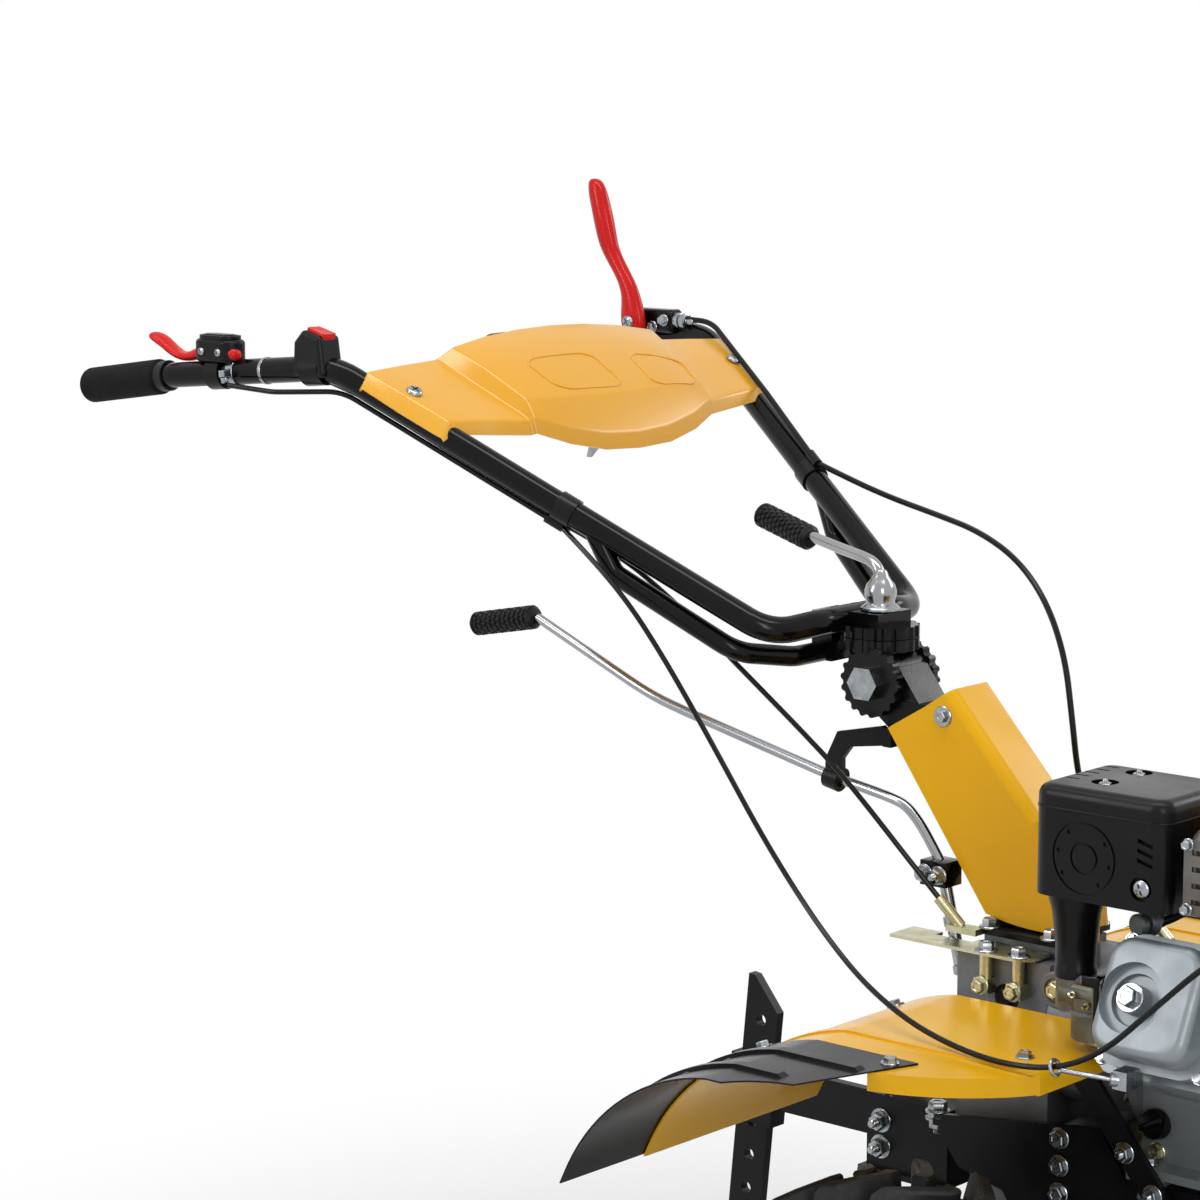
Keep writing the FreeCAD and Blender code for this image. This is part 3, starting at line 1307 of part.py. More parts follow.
def cover_profile(share, lateral, drop=0.0):
    """One cross-section of the dash cover, part way from the hood's side view to the wing's."""
    hood = [(-693, 1066), (-690, 1144), (-652, 1141), (-602, 1105), (-579, 1021)]
    wing = [(-712, 1098), (-704, 1114), (-657, 1087), (-632, 1073), (-610, 1048)]
    spots = []
    for (x0, z0), (x1, z1) in zip(hood, wing):
        x, z = x0 + (x1 - x0) * share, z0 + (z1 - z0) * share
        skew = math.copysign(0.408 * share, -lateral)
        spots.append(Vector(x, lateral + skew * (x + 657), z - drop))
    path = bent_path(spots, [7 + 2 * (1 - share), 17, 26])
    return Part.Wire(path.Edges + [Part.LineSegment(spots[-1], spots[0]).toShape()])


def make_dash_cover(bar):
    """Moulded cover across the arms: a crowned hood in the middle and flat wings over the tubes."""
    half = [(0.0, 0.0), (0.04, 55.0), (0.18, 100.0), (0.45, 132.0), (0.75, 153.0), (0.95, 172.0),
            (1.0, 195.0), (1.0, 225.0), (1.0, 255.0), (1.0, 264.0, 7.0), (1.0, 267.0, 17.0)]
    left = [cover_profile(*spot) for spot in half]
    right = [cover_profile(spot[0], -spot[1], *spot[2:]) for spot in reversed(half[1:])]
    outer = Part.makeLoft(right + left, True, False)
    inner = outer.translated(Vector(-1.3, 0, -1.9))
    pads = []
    for side in (1, -1):
        corners = [(14, 1070), (26, 1110), (112, 1106), (126, 1092), (112, 1066)]
        points = [Vector(-650, side * y, z) for y, z in corners]
        prism = Part.Face(Part.makePolygon(points + points[:1])).extrude(Vector(120, 0, 0))
        prism = rounded(prism, 9, lambda e: along(e, X_AXIS))
        pads.append(outer.translated(Vector(1.2, 0, 1.2)).common(prism))
    shell = outer.fuse(pads).cut(inner).cut(bar)
    shape_part("dash_cover", max(shell.Solids, key=lambda s: s.Volume))


def make_controls(bar):
    """Clutch lever with its perch, thumb throttle and stop switch."""
    across = (flip(WRIST) - flip(HIGH)).normalize()
    seat = flip(HIGH) + across * 76
    perch = rod(tuple(seat - across * 12), tuple(seat + across * 12), 17)
    horn = block(seat.x - 16, seat.x + 44, seat.y - 24, seat.y - 2, seat.z + 6, seat.z + 32)
    barrel = rod((seat.x + 40, seat.y - 13, seat.z + 20), (seat.x + 60, seat.y - 14, seat.z + 20), 6)
    perch = fused([perch, rounded(horn, 6, lambda e: True), barrel]).cut(bar)
    pivot = Vector(seat.x - 2, seat.y - 34, seat.z + 18)
    blade = [pivot, pivot + Vector(1, 0, 38), pivot + Vector(-37, 0, 82), pivot + Vector(-58, 0, 150)]
    lever = blade_sweep(bent_path(blade, [34, 90]), 9, 6)
    tip = rod((blade[-1].x, blade[-1].y - 3, blade[-1].z), (blade[-1].x, blade[-1].y + 3, blade[-1].z), 6.3)
    foot = rod((pivot.x, pivot.y - 9, pivot.z), (pivot.x, pivot.y + 13, pivot.z), 15)
    shape_part("clutch_lever", fused([lever, rounded(tip, 2.5, lambda e: True), foot]).cut(perch))
    shape_part("clutch_perch", perch)

    along_bar = (HIGH - WRIST).normalize()
    seat = WRIST + along_bar * 62
    ring = rod(tuple(seat - along_bar * 9), tuple(seat + along_bar * 9), 16.5)
    body = oval(seat.x - 14, seat.x + 14, seat.y, 15, seat.z + 11, seat.z + 34)
    shape_part("throttle_body", fused([ring, rounded(body, 4, lambda e: True)]).cut(bar))
    paddle = [seat + Vector(0, 0, 13), seat + Vector(-40, 4, 13), seat + Vector(-62, 2, 20),
              seat + Vector(-88, -4, 30)]
    arm = blade_sweep(bent_path(paddle, [30, 20]), 9, 4.5).cut(oval(seat.x - 14, seat.x + 14, seat.y, 15.2,
                                                                seat.z, seat.z + 40))
    end = rod(tuple(paddle[-1] + Vector(0, 0, -5)), tuple(paddle[-1] + Vector(0, 0, 6)), 11)
    rim = oval(seat.x - 11, seat.x + 11, seat.y, 12, seat.z + 34, seat.z + 38)
    lever = fused([max(arm.Solids, key=lambda s: s.Volume), rounded(end, 4, lambda e: True)])
    shape_part("throttle_lever", lever.fuse(bridge_over(seat)).fuse(rim).removeSplitter().cut(body).cut(bar))

    seat = HIGH - along_bar * 20
    ring = rod(tuple(seat - along_bar * 12), tuple(seat + along_bar * 12), 17)
    x, y, z = seat.x, seat.y, seat.z
    wedge = [Vector(x - 22, y - 15, z - 8), Vector(x - 20, y - 15, z + 26), Vector(x - 8, y - 15, z + 38),
             Vector(x + 16, y - 15, z + 32), Vector(x + 22, y - 15, z - 8)]
    case = Part.Face(Part.makePolygon(wedge + wedge[:1])).extrude(Vector(0, 30, 0))
    shape_part("stop_switch", fused([ring, rounded(case, 5, lambda e: True)]).cut(bar))


def oval(x0, x1, y, radius, z0, z1):
    """An upright bar with rounded ends: two round bars and the block between them."""
    shapes = [rod((x, y, z0), (x, y, z1), radius) for x in (x0, x1)]
    return fused(shapes + [block(x0, x1, y - radius, y + radius, z0, z1)])


def bridge_over(seat):
    """The throttle lever's link from its paddle over the end of the control body."""
    return block(seat.x - 34, seat.x - 20, seat.y - 6, seat.y + 6, seat.z + 14, seat.z + 38).fuse(
        block(seat.x - 34, seat.x - 8, seat.y - 6, seat.y + 6, seat.z + 34, seat.z + 38))


def blade_sweep(path, half_wide, half_thick):
    """Sweep a flat section with rounded ends along a path that starts square to it."""
    start, aim = path.OrderedVertexes[0].Point, path.OrderedEdges[0].tangentAt(0)
    flat = aim.cross(Y_AXIS).normalize() * half_thick
    reach = half_wide - half_thick
    edges = []
    for end in (1, -1):
        centre, tip = start + Y_AXIS * reach * end, start + Y_AXIS * half_wide * end
        edges.append(Part.Arc(centre + flat * end, tip, centre - flat * end).toShape())
        far = start - Y_AXIS * reach * end - flat * end
        edges.append(Part.LineSegment(centre - flat * end, far).toShape())
    return path.makePipeShell([Part.Wire(edges)], True, False)


def make_lock_lever():
    """Lever that clamps the swivel: a boss on the stud, a bent rod and a knurled grip."""
    boss = Part.makeCone(15, 11, 28, Vector(SWIVEL_X, 0, SWIVEL_Z + 24.1), Z_AXIS)
    bore = rod((SWIVEL_X, 0, SWIVEL_Z + 20), (SWIVEL_X, 0, SWIVEL_Z + 37.5), SWIVEL_STUD + float(dim.fit_gap))
    points = [(SWIVEL_X, 0, SWIVEL_Z + 44), (-310, 8, 926), (-352, 18, 931), (-372, 22, 936)]
    arm = swept(bent_path(points, [14, 40]), 5.5)
    shape_part("lock_lever", fused([boss, arm]).cut(bore))
    lever = unshifted("lock_lever")
    grip = rounded(rod((-362, 20, 933.5), (-459, 40, 957.5), 13), 4, lambda e: True)
    shape_part("lock_grip", grip.cut(lever))


# ---------------------------------------------------------------- cables

def rule_radii(points):
    """The largest arc that each corner of a cord's route allows, from its runs and its turn."""
    radii = []
    for before, here, after in zip(points, points[1:], points[2:]):
        a, b = Vector(*here) - Vector(*before), Vector(*after) - Vector(*here)
        turn = a.getAngle(b)
        radii.append(0.45 * min(a.Length, b.Length) / math.tan(turn / 2))
    return radii


def cord(label, points, radius):
    """One cable as straight runs joined by tangent arcs, with its radii and volume printed."""
    radii = rule_radii(points)
    path = bent_path([Vector(*p) for p in points], radii)
    solid = swept(path, radius)
    expected = math.pi * float(radius) ** 2 * path.Length
    print(label, "length %.0f" % path.Length, "smallest radius %.0f" % min(radii),
          "volume ratio %.5f" % (solid.Volume / expected))
    shape_part(label, solid)
    return solid


def beyond(route, distance):
    """A place the given distance past a route's end, in the direction of its last run."""
    last = Vector(*route[-1])
    return tuple(last + (last - Vector(*route[-2])).normalize() * distance)


THROTTLE_ROUTE = [
    (-514, -192, 966), (-474, -194, 940), (-428, -193, 902), (-390, -190, 858),
    (-350, -186, 804), (-313, -182, 751), (-275, -181, 700), (-232, -185, 655),
    (-183, -196, 617), (-128, -213, 588), (-66, -233, 570), (-4, -252, 563),
    (56, -264, 561), (110, -262, 566), (157, -263, 589), (204, -262, 634),
    (246, -248, 678), (282, -222, 704), (306, -186, 712),
]
REVERSE_ROUTE = [
    (-509, -178, 961), (-474, -150, 936), (-434, -130, 901), (-392, -114, 862),
    (-350, -100, 822), (-306, -90, 784), (-262, -82, 746), (-222, -76, 706),
    (-188, -68, 668), (-160, -58, 634),
]
CLUTCH_ROUTE = [
    (-499, 186, 995), (-446, 178, 981), (-388, 170, 968), (-322, 154, 959),
    (-256, 134, 950), (-196, 114, 930), (-150, 96, 896), (-120, 84, 848),
    (-108, 80, 792), (-100, 80, 736), (-82, 82, 684), (-50, 84, 642), (-12, 78, 612),
]


def make_cables(bar):
    """Cables: the stretches held along the arms, the bands that hold them, and the free stretches."""
    gap = float(dim.handle_tube_radius)
    thin, thick = float(dim.throttle_cable_radius), float(dim.clutch_cable_radius)
    loose = [cord("throttle_cable", THROTTLE_ROUTE, thin), cord("reverse_cable", REVERSE_ROUTE, thin),
             cord("clutch_cable", CLUTCH_ROUTE, thick)]
    runs = {
        "throttle_cable_run": ([(-846, -312, 1088), (-792, -303, 1084), tuple(on_arm(715, gap + thin + 1)),
                                THROTTLE_ROUTE[0]], thin),
        "stop_wire_run": ([tuple(HIGH + Vector(-20, 14, -16)), tuple(on_arm(700, 13, 11)),
                           REVERSE_ROUTE[0]], thin),
        "clutch_cable_run": ([(-748, 272, 1126), tuple(flip(on_arm(722, -gap - thick - 6))),
                              tuple(flip(on_arm(606, -gap - thick - 6))), CLUTCH_ROUTE[0]], thick),
    }
    held = []
    perch = unshifted("clutch_perch")
    for label, (points, radius) in runs.items():
        radii = [min(r, 60) for r in rule_radii(points)]
        solid = swept(bent_path([Vector(*p) for p in points], radii), radius)
        for other in loose + [perch]:
            solid = solid.cut(other)
        shape_part(label, solid)
        held.append(solid)
    bands = []
    for turn in (lambda p: p, flip):
        near, far = turn(on_arm(516)), turn(on_arm(500))
        band = rod(tuple(near), tuple(far), gap + 2)
        for solid in held:
            spot = solid.common(rod(tuple(near), tuple(far), gap + 14))
            if spot.Volume > 1:
                middle = spot.Solids[0].CenterOfMass
                axis = (far - near) * 0.5
                band = band.fuse(rod(tuple(middle - axis), tuple(middle + axis), 5.2))
        for solid in held + loose:
            band = band.cut(solid)
        bands.append(band.cut(bar))
    shape_part("cable_bands", Part.makeCompound(bands))
    return loose


def make_cable_ends(cables):
    """Cable eye under the head cover, throttle bracket, clutch arm and the reverse cable stop."""
    throttle, reverse, clutch = cables
    x, y, z = 110.0, -261.5, 567.5
    ring = Part.makeTorus(6.5, 1.8, Vector(x, y, z), Vector(0.75, 0.02, 0.25))
    stem = rod((x + 1, y + 5.5, z - 3), (150, -229, 557), 2.2)
    nut = rod((146, -232, 558), (158, -222, 556), 6)
    tab = block(148, 162, -232, -206, 550, 566)
    eye = fused([ring, stem, nut, tab])
    for name in ("head_cover", "cylinder_head"):
        eye = eye.cut(unshifted(name))
    shape_part("cable_eye", eye)
    stop = rod(THROTTLE_ROUTE[-1], beyond(THROTTLE_ROUTE, 22), 5.5)
    plate = block(308, 316, -170, -150, 600, 724)
    foot = block(300, 316, -158, -150, 600, 620)
    held = fused([stop, plate, foot]).cut(unshifted("fan_housing"))
    shape_part("throttle_bracket", held.cut(throttle))
    arm = block(-18, 12, 62, 92, 586, 592)
    post = block(-18, 12, 56, 62, 540, 592)
    gland = rod(CLUTCH_ROUTE[-1], beyond(CLUTCH_ROUTE, 28), 5.5)
    held = fused([arm, post, gland]).cut(unshifted("clutch_housing"))
    shape_part("clutch_arm", held.cut(clutch))
    stop = rod(REVERSE_ROUTE[-1], beyond(REVERSE_ROUTE, 34), 5.5)
    tab = block(-150, -116, -60, -45, 604, 610)
    held = fused([stop, tab]).cut(unshifted("column_post"))
    shape_part("reverse_stop", held.cut(reverse))


# ---------------------------------------------------------------- assembly

for hand, side in (("left", 1), ("right", -1)):
    make_tyre(hand, side)
    make_rim(hand, side)
    make_hub(hand, side)
    make_sleeve(hand, side)
    make_fender(hand, side)
    make_fender_extension(hand, side)
make_axle()
make_gearbox()
make_clutch_housing()
make_crankcase()
make_cylinder_head()
make_head_cover()
make_air_cleaner()
make_carburettor()
make_tank()
make_tank_cap()
make_fan_housing()
make_recoil()
make_muffler()
make_side_plates()
make_bumper(make_rails())
make_hitch()
make_stake()
make_stake_holder()
make_fender_struts()
make_column_cover()
make_column_post()
doc.recompute()
make_joint()
make_gear_lever()
make_gate_plate()
make_filler_plug()
handlebar_bar, brace_shape = make_handlebar()
make_bracket(handlebar_bar, brace_shape)
make_grips(handlebar_bar)
make_dash_cover(handlebar_bar)
make_controls(handlebar_bar)
make_lock_lever()
make_cable_ends(make_cables(handlebar_bar))
for label in ("axle_sleeve", "fender", "fender_extension", "side_plate"):
    gathered(label + "s", [label + "_left", label + "_right"])
gathered("cable_runs", ["throttle_cable_run", "stop_wire_run", "clutch_cable_run"])
gathered("cable_stops", ["throttle_bracket", "clutch_arm", "reverse_stop"])
welded("gear_gate", ["gate_plate", "gate_pillars"])

doc.recompute()
for thing in doc.Objects:
    if "Invalid" in thing.State or "Error" in thing.State:
        raise RuntimeError("%s is %s" % (thing.Name, thing.State))
for name, thing in NODES.items():
    if thing.Shape.isNull() or not thing.Shape.isValid() or not thing.Shape.Solids:
        raise RuntimeError("%s has no valid solid" % name)

os.makedirs("parts", exist_ok=True)
for name, thing in NODES.items():
    thing.Shape.exportStep("parts/%s.step" % name)
print(len(NODES), "nodes")
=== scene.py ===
"""Looks of a walk-behind rotary tiller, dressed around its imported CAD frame.

All pieces are in metres in the frame of the CAD model: X towards the engine, Y to the
machine's left, Z up, with the floor at Z = 0. Sizes of small pieces are in millimetres
and are turned to metres by MM.
"""

from __future__ import annotations

import json
import logging
import math
from dataclasses import dataclass
from enum import Enum
from typing import Any, Callable, Sequence

import bpy
from mathutils import Matrix, Vector
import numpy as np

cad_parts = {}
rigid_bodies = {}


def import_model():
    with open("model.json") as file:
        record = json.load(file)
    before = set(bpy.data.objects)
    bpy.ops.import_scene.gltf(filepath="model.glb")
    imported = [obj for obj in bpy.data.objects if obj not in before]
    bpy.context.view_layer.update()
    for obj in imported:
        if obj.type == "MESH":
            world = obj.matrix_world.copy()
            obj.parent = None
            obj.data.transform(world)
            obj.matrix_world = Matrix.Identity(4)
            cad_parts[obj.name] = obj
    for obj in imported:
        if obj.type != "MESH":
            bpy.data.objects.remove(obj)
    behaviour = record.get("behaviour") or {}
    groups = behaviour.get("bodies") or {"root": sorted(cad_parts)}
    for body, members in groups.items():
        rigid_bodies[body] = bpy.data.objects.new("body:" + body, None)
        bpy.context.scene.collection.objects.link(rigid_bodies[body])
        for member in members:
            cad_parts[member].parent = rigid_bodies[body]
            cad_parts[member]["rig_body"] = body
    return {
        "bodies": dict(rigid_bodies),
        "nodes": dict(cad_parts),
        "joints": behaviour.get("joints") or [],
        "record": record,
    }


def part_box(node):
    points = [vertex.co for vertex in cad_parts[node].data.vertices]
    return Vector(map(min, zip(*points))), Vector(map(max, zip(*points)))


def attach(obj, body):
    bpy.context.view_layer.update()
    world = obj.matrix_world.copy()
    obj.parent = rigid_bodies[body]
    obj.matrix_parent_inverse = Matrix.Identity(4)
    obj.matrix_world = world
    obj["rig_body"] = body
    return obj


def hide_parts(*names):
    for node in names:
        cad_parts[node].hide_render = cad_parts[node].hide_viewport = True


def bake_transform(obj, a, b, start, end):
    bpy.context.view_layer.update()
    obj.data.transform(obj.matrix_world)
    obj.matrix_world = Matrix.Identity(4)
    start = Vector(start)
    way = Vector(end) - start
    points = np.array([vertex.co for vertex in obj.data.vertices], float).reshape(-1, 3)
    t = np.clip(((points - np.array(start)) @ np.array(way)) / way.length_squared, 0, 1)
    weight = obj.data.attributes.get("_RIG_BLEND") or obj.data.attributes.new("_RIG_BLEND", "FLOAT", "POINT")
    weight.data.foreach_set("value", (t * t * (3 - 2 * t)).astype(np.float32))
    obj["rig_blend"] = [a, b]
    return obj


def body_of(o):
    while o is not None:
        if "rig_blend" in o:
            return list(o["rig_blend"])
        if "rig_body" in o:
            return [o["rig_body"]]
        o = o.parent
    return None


MM = 0.001
LOG = logging.getLogger("tiller")


class Body(Enum):
    """The bodies of the frame that a piece can ride on."""

    CHASSIS = "chassis"
    HANDLEBAR = "handlebar"
    WHEEL_LEFT = "wheel_left"
    WHEEL_RIGHT = "wheel_right"


class Pick(Enum):
    """What an edit selects."""

    VERTICES = (True, False, False)
    EDGES = (False, True, False)
    FACES = (False, False, True)


# ------------------------------------------------------------------ materials


def srgb(code: str) -> tuple[float, float, float, float]:
    """Turns an sRGB hex colour to linear RGBA.

    Args:
        code: six hex digits.

    Returns:
        Linear red, green, blue and an alpha of 1.
    """
    parts = [int(code[i:i + 2], 16) / 255 for i in (0, 2, 4)]
    linear = [p / 12.92 if p <= 0.04045 else ((p + 0.055) / 1.055) ** 2.4 for p in parts]
    return (linear[0], linear[1], linear[2], 1.0)


def per_mm(size: float) -> float:
    """Noise scale whose features are size millimetres across."""
    return 1 / (size * MM)


def empty_tree(holder: bpy.types.ID) -> bpy.types.NodeTree:
    """Turns nodes on for a material or a world and clears the ones it comes with.

    Args:
        holder: the new material or world.

    Returns:
        Its node tree.
    """
    holder.use_nodes = True
    holder.node_tree.nodes.clear()
    return holder.node_tree


def add_node(tree: bpy.types.NodeTree, kind: str, inputs: dict | None = None,
             **settings: Any) -> bpy.types.Node:
    """Adds one node with its settings and links.

    Args:
        tree: the material's or world's node tree.
        kind: the node's type name, without its ShaderNode prefix.
        inputs: for each input, by name or number, a value or the socket that feeds it.
        settings: attributes of the node.

    Returns:
        The new node.
    """
    node = tree.nodes.new("ShaderNode" + kind)
    for name, value in settings.items():
        setattr(node, name, value)
    for name, value in (inputs or {}).items():
        if isinstance(value, bpy.types.NodeSocket):
            tree.links.new(value, node.inputs[name])
        else:
            node.inputs[name].default_value = value
    return node


@dataclass(frozen=True)
class Finish:
    """What every finish has: a colour that varies a little, a sheen and a fine relief.

    The relief is a noise of grain_mm across and relief_mm deep. Patches of patch_mm across
    drift the colour towards its second value and the roughness by spread.
    """

    name: str
    colour: str
    second: str
    metallic: float = 0.0
    roughness: float = 0.4
    spread: float = 0.08
    ior: float = 1.5
    patch_mm: float = 60.0
    grain_mm: float = 1.5
    relief_mm: float = 0.02
    detail: float = 3.0
    stretch: tuple[float, float, float] = (1.0, 1.0, 1.0)
    low: float = 0.35
    high: float = 0.75

    def material(self) -> bpy.types.Material:
        """Makes the material, once.

        Returns:
            The material.
        """
        known = bpy.data.materials.get(self.name)
        if known is not None:
            return known
        made = bpy.data.materials.new(self.name)
        tree = empty_tree(made)
        coords = add_node(tree, "TexCoord")
        place = add_node(tree, "Mapping", {"Vector": coords.outputs["Object"], "Scale": self.stretch})
        patches = add_node(tree, "TexNoise", {
            "Vector": place.outputs[0], "Scale": per_mm(self.patch_mm), "Detail": 4.0})
        share = add_node(tree, "MapRange", {
            "Value": patches.outputs[0], "From Min": self.low, "From Max": self.high})
        colour = add_node(tree, "Mix", {
            0: share.outputs[0], 6: srgb(self.colour), 7: srgb(self.second)}, data_type="RGBA")
        rough = add_node(tree, "MapRange", {
            "Value": patches.outputs[0], "From Min": 0.3, "From Max": 0.7,
            "To Min": max(0.02, self.roughness - self.spread),
            "To Max": min(1.0, self.roughness + self.spread)})
        shader = add_node(tree, "BsdfPrincipled", {
            "Base Color": self.tinted(tree, place, colour.outputs[2]),
            "Roughness": rough.outputs[0],
            "Metallic": self.metallic, "IOR": self.ior, "Normal": self.relief(tree, place)})
        add_node(tree, "OutputMaterial", {"Surface": shader.outputs[0]})
        return made

    def tinted(self, tree: bpy.types.NodeTree, place: bpy.types.Node,
               colour: bpy.types.NodeSocket) -> bpy.types.NodeSocket:
        """Returns the colour's socket, as this kind of finish shades it."""
        return colour

    def relief(self, tree: bpy.types.NodeTree, place: bpy.types.Node) -> bpy.types.NodeSocket:
        """Adds the nodes of the fine relief.

        Args:
            tree: the material's node tree.
            place: the node that gives the place on the piece.

        Returns:
            The normal's socket.
        """
        grain = add_node(tree, "TexNoise", {
            "Vector": place.outputs[0], "Scale": per_mm(self.grain_mm), "Detail": self.detail})
        bump = add_node(tree, "Bump", {
            "Height": grain.outputs[0], "Strength": 1.0, "Distance": self.relief_mm * MM})
        return bump.outputs[0]


@dataclass(frozen=True)
class Speckled(Finish):
    """A finish with small dark or bright specks, such as cast or zinc plated metal."""

    speck: str = "555555"
    speck_mm: float = 0.9
    speck_share: float = 0.3

    def tinted(self, tree: bpy.types.NodeTree, place: bpy.types.Node,
               colour: bpy.types.NodeSocket) -> bpy.types.NodeSocket:
        """Mixes specks into the colour.

        Args:
            tree: the material's node tree.
            place: the node that gives the place on the piece.
            colour: the socket of the colour without specks.

        Returns:
            The socket of the colour with specks.
        """
        specks = add_node(tree, "TexNoise", {
            "Vector": place.outputs[0], "Scale": per_mm(self.speck_mm), "Detail": 2.0})
        share = add_node(tree, "MapRange", {
            "Value": specks.outputs[0], "From Min": 0.5, "From Max": 0.72,
            "To Max": self.speck_share})
        mixed = add_node(tree, "Mix", {
            0: share.outputs[0], 6: colour, 7: srgb(self.speck)}, data_type="RGBA")
        return mixed.outputs[2]


@dataclass(frozen=True)
class Cellular(Finish):
    """A finish with open cells or pebbles of grain_mm across, such as foam or textured rubber."""

    def relief(self, tree: bpy.types.NodeTree, place: bpy.types.Node) -> bpy.types.NodeSocket:
        """Adds the nodes of the cells.

        Args:
            tree: the material's node tree.
            place: the node that gives the place on the piece.

        Returns:
            The normal's socket.
        """
        cells = add_node(tree, "TexVoronoi", {
            "Vector": place.outputs[0], "Scale": per_mm(self.grain_mm)})
        bump = add_node(tree, "Bump", {
            "Height": cells.outputs[0], "Strength": 1.0, "Distance": self.relief_mm * MM})
        return bump.outputs[0]


class Finishes:
    """Each finish on the machine, under the name of its slot in the record."""

    # Wet enamel sprayed on pressed steel: a clear gloss with a faint orange peel.
    YELLOW_ENAMEL = Finish("yellow_enamel", "E6AE0C", "E0A708", roughness=0.24, spread=0.05, ior=1.3,
                           patch_mm=140, grain_mm=3.0, relief_mm=0.012)
    # Moulded ABS with a polished tool face: smoother than the enamel.
    YELLOW_ABS = Finish("yellow_abs", "DFA226", "D99C20", roughness=0.22, spread=0.04, ior=1.5,
                        patch_mm=160, grain_mm=4.0, relief_mm=0.008)
    # Gloss black enamel on drawn steel tube: deep black with sharp long highlights.
    BLACK_ENAMEL = Finish("black_enamel", "060607", "0B0B0C", roughness=0.15, spread=0.04, ior=1.27,
                          patch_mm=90, grain_mm=3.5, relief_mm=0.010)
    # Powder coat on plate and brackets: satin, with a visible peel and a little dust.
    BLACK_POWDER = Finish("black_powder_coat", "0B0B0C", "141416", roughness=0.34, spread=0.08, ior=1.25,
                          patch_mm=70, grain_mm=2.2, relief_mm=0.030)
    # Satin enamel on the pressed extensions: greyer, with soft broad highlights.
    SATIN_ENAMEL = Finish("satin_black_enamel", "0D0D0F", "151518", roughness=0.26, spread=0.06, ior=1.3,
                          patch_mm=110, grain_mm=3.0, relief_mm=0.015)
    # Silver wheel enamel over steel: dull aluminium flake.
    RIM_ENAMEL = Speckled("silver_wheel_enamel", "B9BABC", "A9AAAD", metallic=0.55, roughness=0.42,
                          patch_mm=80, grain_mm=1.5, relief_mm=0.010, speck="8E8F92", speck_share=0.35)
    # Red enamel on a die-cast lever: bright, with a sharp gloss.
    RED_ENAMEL = Finish("red_enamel", "C61512", "B7110F", roughness=0.2, spread=0.05, ior=1.3,
                        patch_mm=40, grain_mm=3.0, relief_mm=0.010)
    # Red moulded ABS: a touch softer than the enamel.
    RED_ABS = Finish("red_abs", "D21A16", "C21512", roughness=0.3, spread=0.05, ior=1.3, patch_mm=30,
                     grain_mm=2.0, relief_mm=0.008)
    # Orange polypropylene cap: waxy and bright.
    ORANGE_CAP = Finish("orange_polypropylene", "F47A1C", "EA6C12", roughness=0.38, patch_mm=20,
                        grain_mm=1.2, relief_mm=0.010)
    # Black ABS with a spark-eroded tool face: a fine leathery grain.
    BLACK_ABS = Finish("black_abs", "08080A", "101012", roughness=0.3, spread=0.06, ior=1.27, patch_mm=60,
                       grain_mm=0.9, relief_mm=0.030)
    # Sand-cast aluminium: pale grey, grainy, with darker pores.
    SAND_CAST = Speckled("sand_cast_aluminium", "7A7E81", "65696C", metallic=0.6, roughness=0.52,
                         patch_mm=45, grain_mm=1.1, relief_mm=0.09, detail=5, speck="5E6163",
                         speck_mm=1.6, speck_share=0.4)
    # Die-cast aluminium: brighter and smoother, with faint flow marks.
    DIE_CAST = Speckled("pressure_cast_aluminium", "8F969A", "82898D", metallic=0.5, roughness=0.42,
                        patch_mm=50, grain_mm=0.8, relief_mm=0.04, detail=4, speck="7E8488",
                        speck_mm=1.2, speck_share=0.3)
    # Cast iron under black paint: rough skin that the paint rounds off.
    PAINTED_IRON = Finish("painted_cast_iron", "09090A", "121213", roughness=0.22, spread=0.08, ior=1.3,
                          patch_mm=30, grain_mm=2.2, relief_mm=0.12, detail=5)
    # Bare grey iron of the hubs: dark with machined sheen.
    GREY_IRON = Speckled("grey_cast_iron", "3C3D3F", "2B2C2E", metallic=0.7, roughness=0.48,
                         patch_mm=25, grain_mm=1.4, relief_mm=0.06, speck="1C1D1E")
    # Turned steel: bright with a fine lay round the shaft.
    TURNED_STEEL = Finish("turned_steel", "A9A8A4", "8F8E8A", metallic=1.0, roughness=0.30,
                          patch_mm=40, grain_mm=0.7, relief_mm=0.01, stretch=(1.0, 6.0, 1.0))
    # Zinc plate with yellow passivation on fasteners and pressed steel: silvery, olive in patches.
    YELLOW_ZINC = Speckled("yellow_zinc_plate", "C9C4A6", "B7B48C", metallic=0.95, roughness=0.30,
                           spread=0.1, patch_mm=16, grain_mm=1.0, relief_mm=0.012, speck="A9AF9B",
                           speck_mm=5.0, speck_share=0.6)
    # Clear zinc plate on bolts and washers: cool silver, slightly clouded.
    CLEAR_ZINC = Finish("clear_zinc_plate", "A4A8AB", "888D91", metallic=1.0, roughness=0.26,
                        spread=0.08, patch_mm=7, grain_mm=0.6, relief_mm=0.01)
    # Chrome on the control rods: near mirror.
    CHROME = Finish("chrome_plate", "A2A4A6", "8F9194", metallic=1.0, roughness=0.18, spread=0.04,
                    patch_mm=50, grain_mm=8.0, relief_mm=0.0005)
    # Zinc alloy of the carburettor: gravity cast, dull, with an olive passivation.
    CARB_ALLOY = Speckled("cast_zinc_alloy", "6E6D62", "5A5A51", metallic=0.75, roughness=0.45,
                          patch_mm=22, grain_mm=0.9, relief_mm=0.05, detail=4, speck="3F3F3A",
                          speck_mm=1.2, speck_share=0.4)
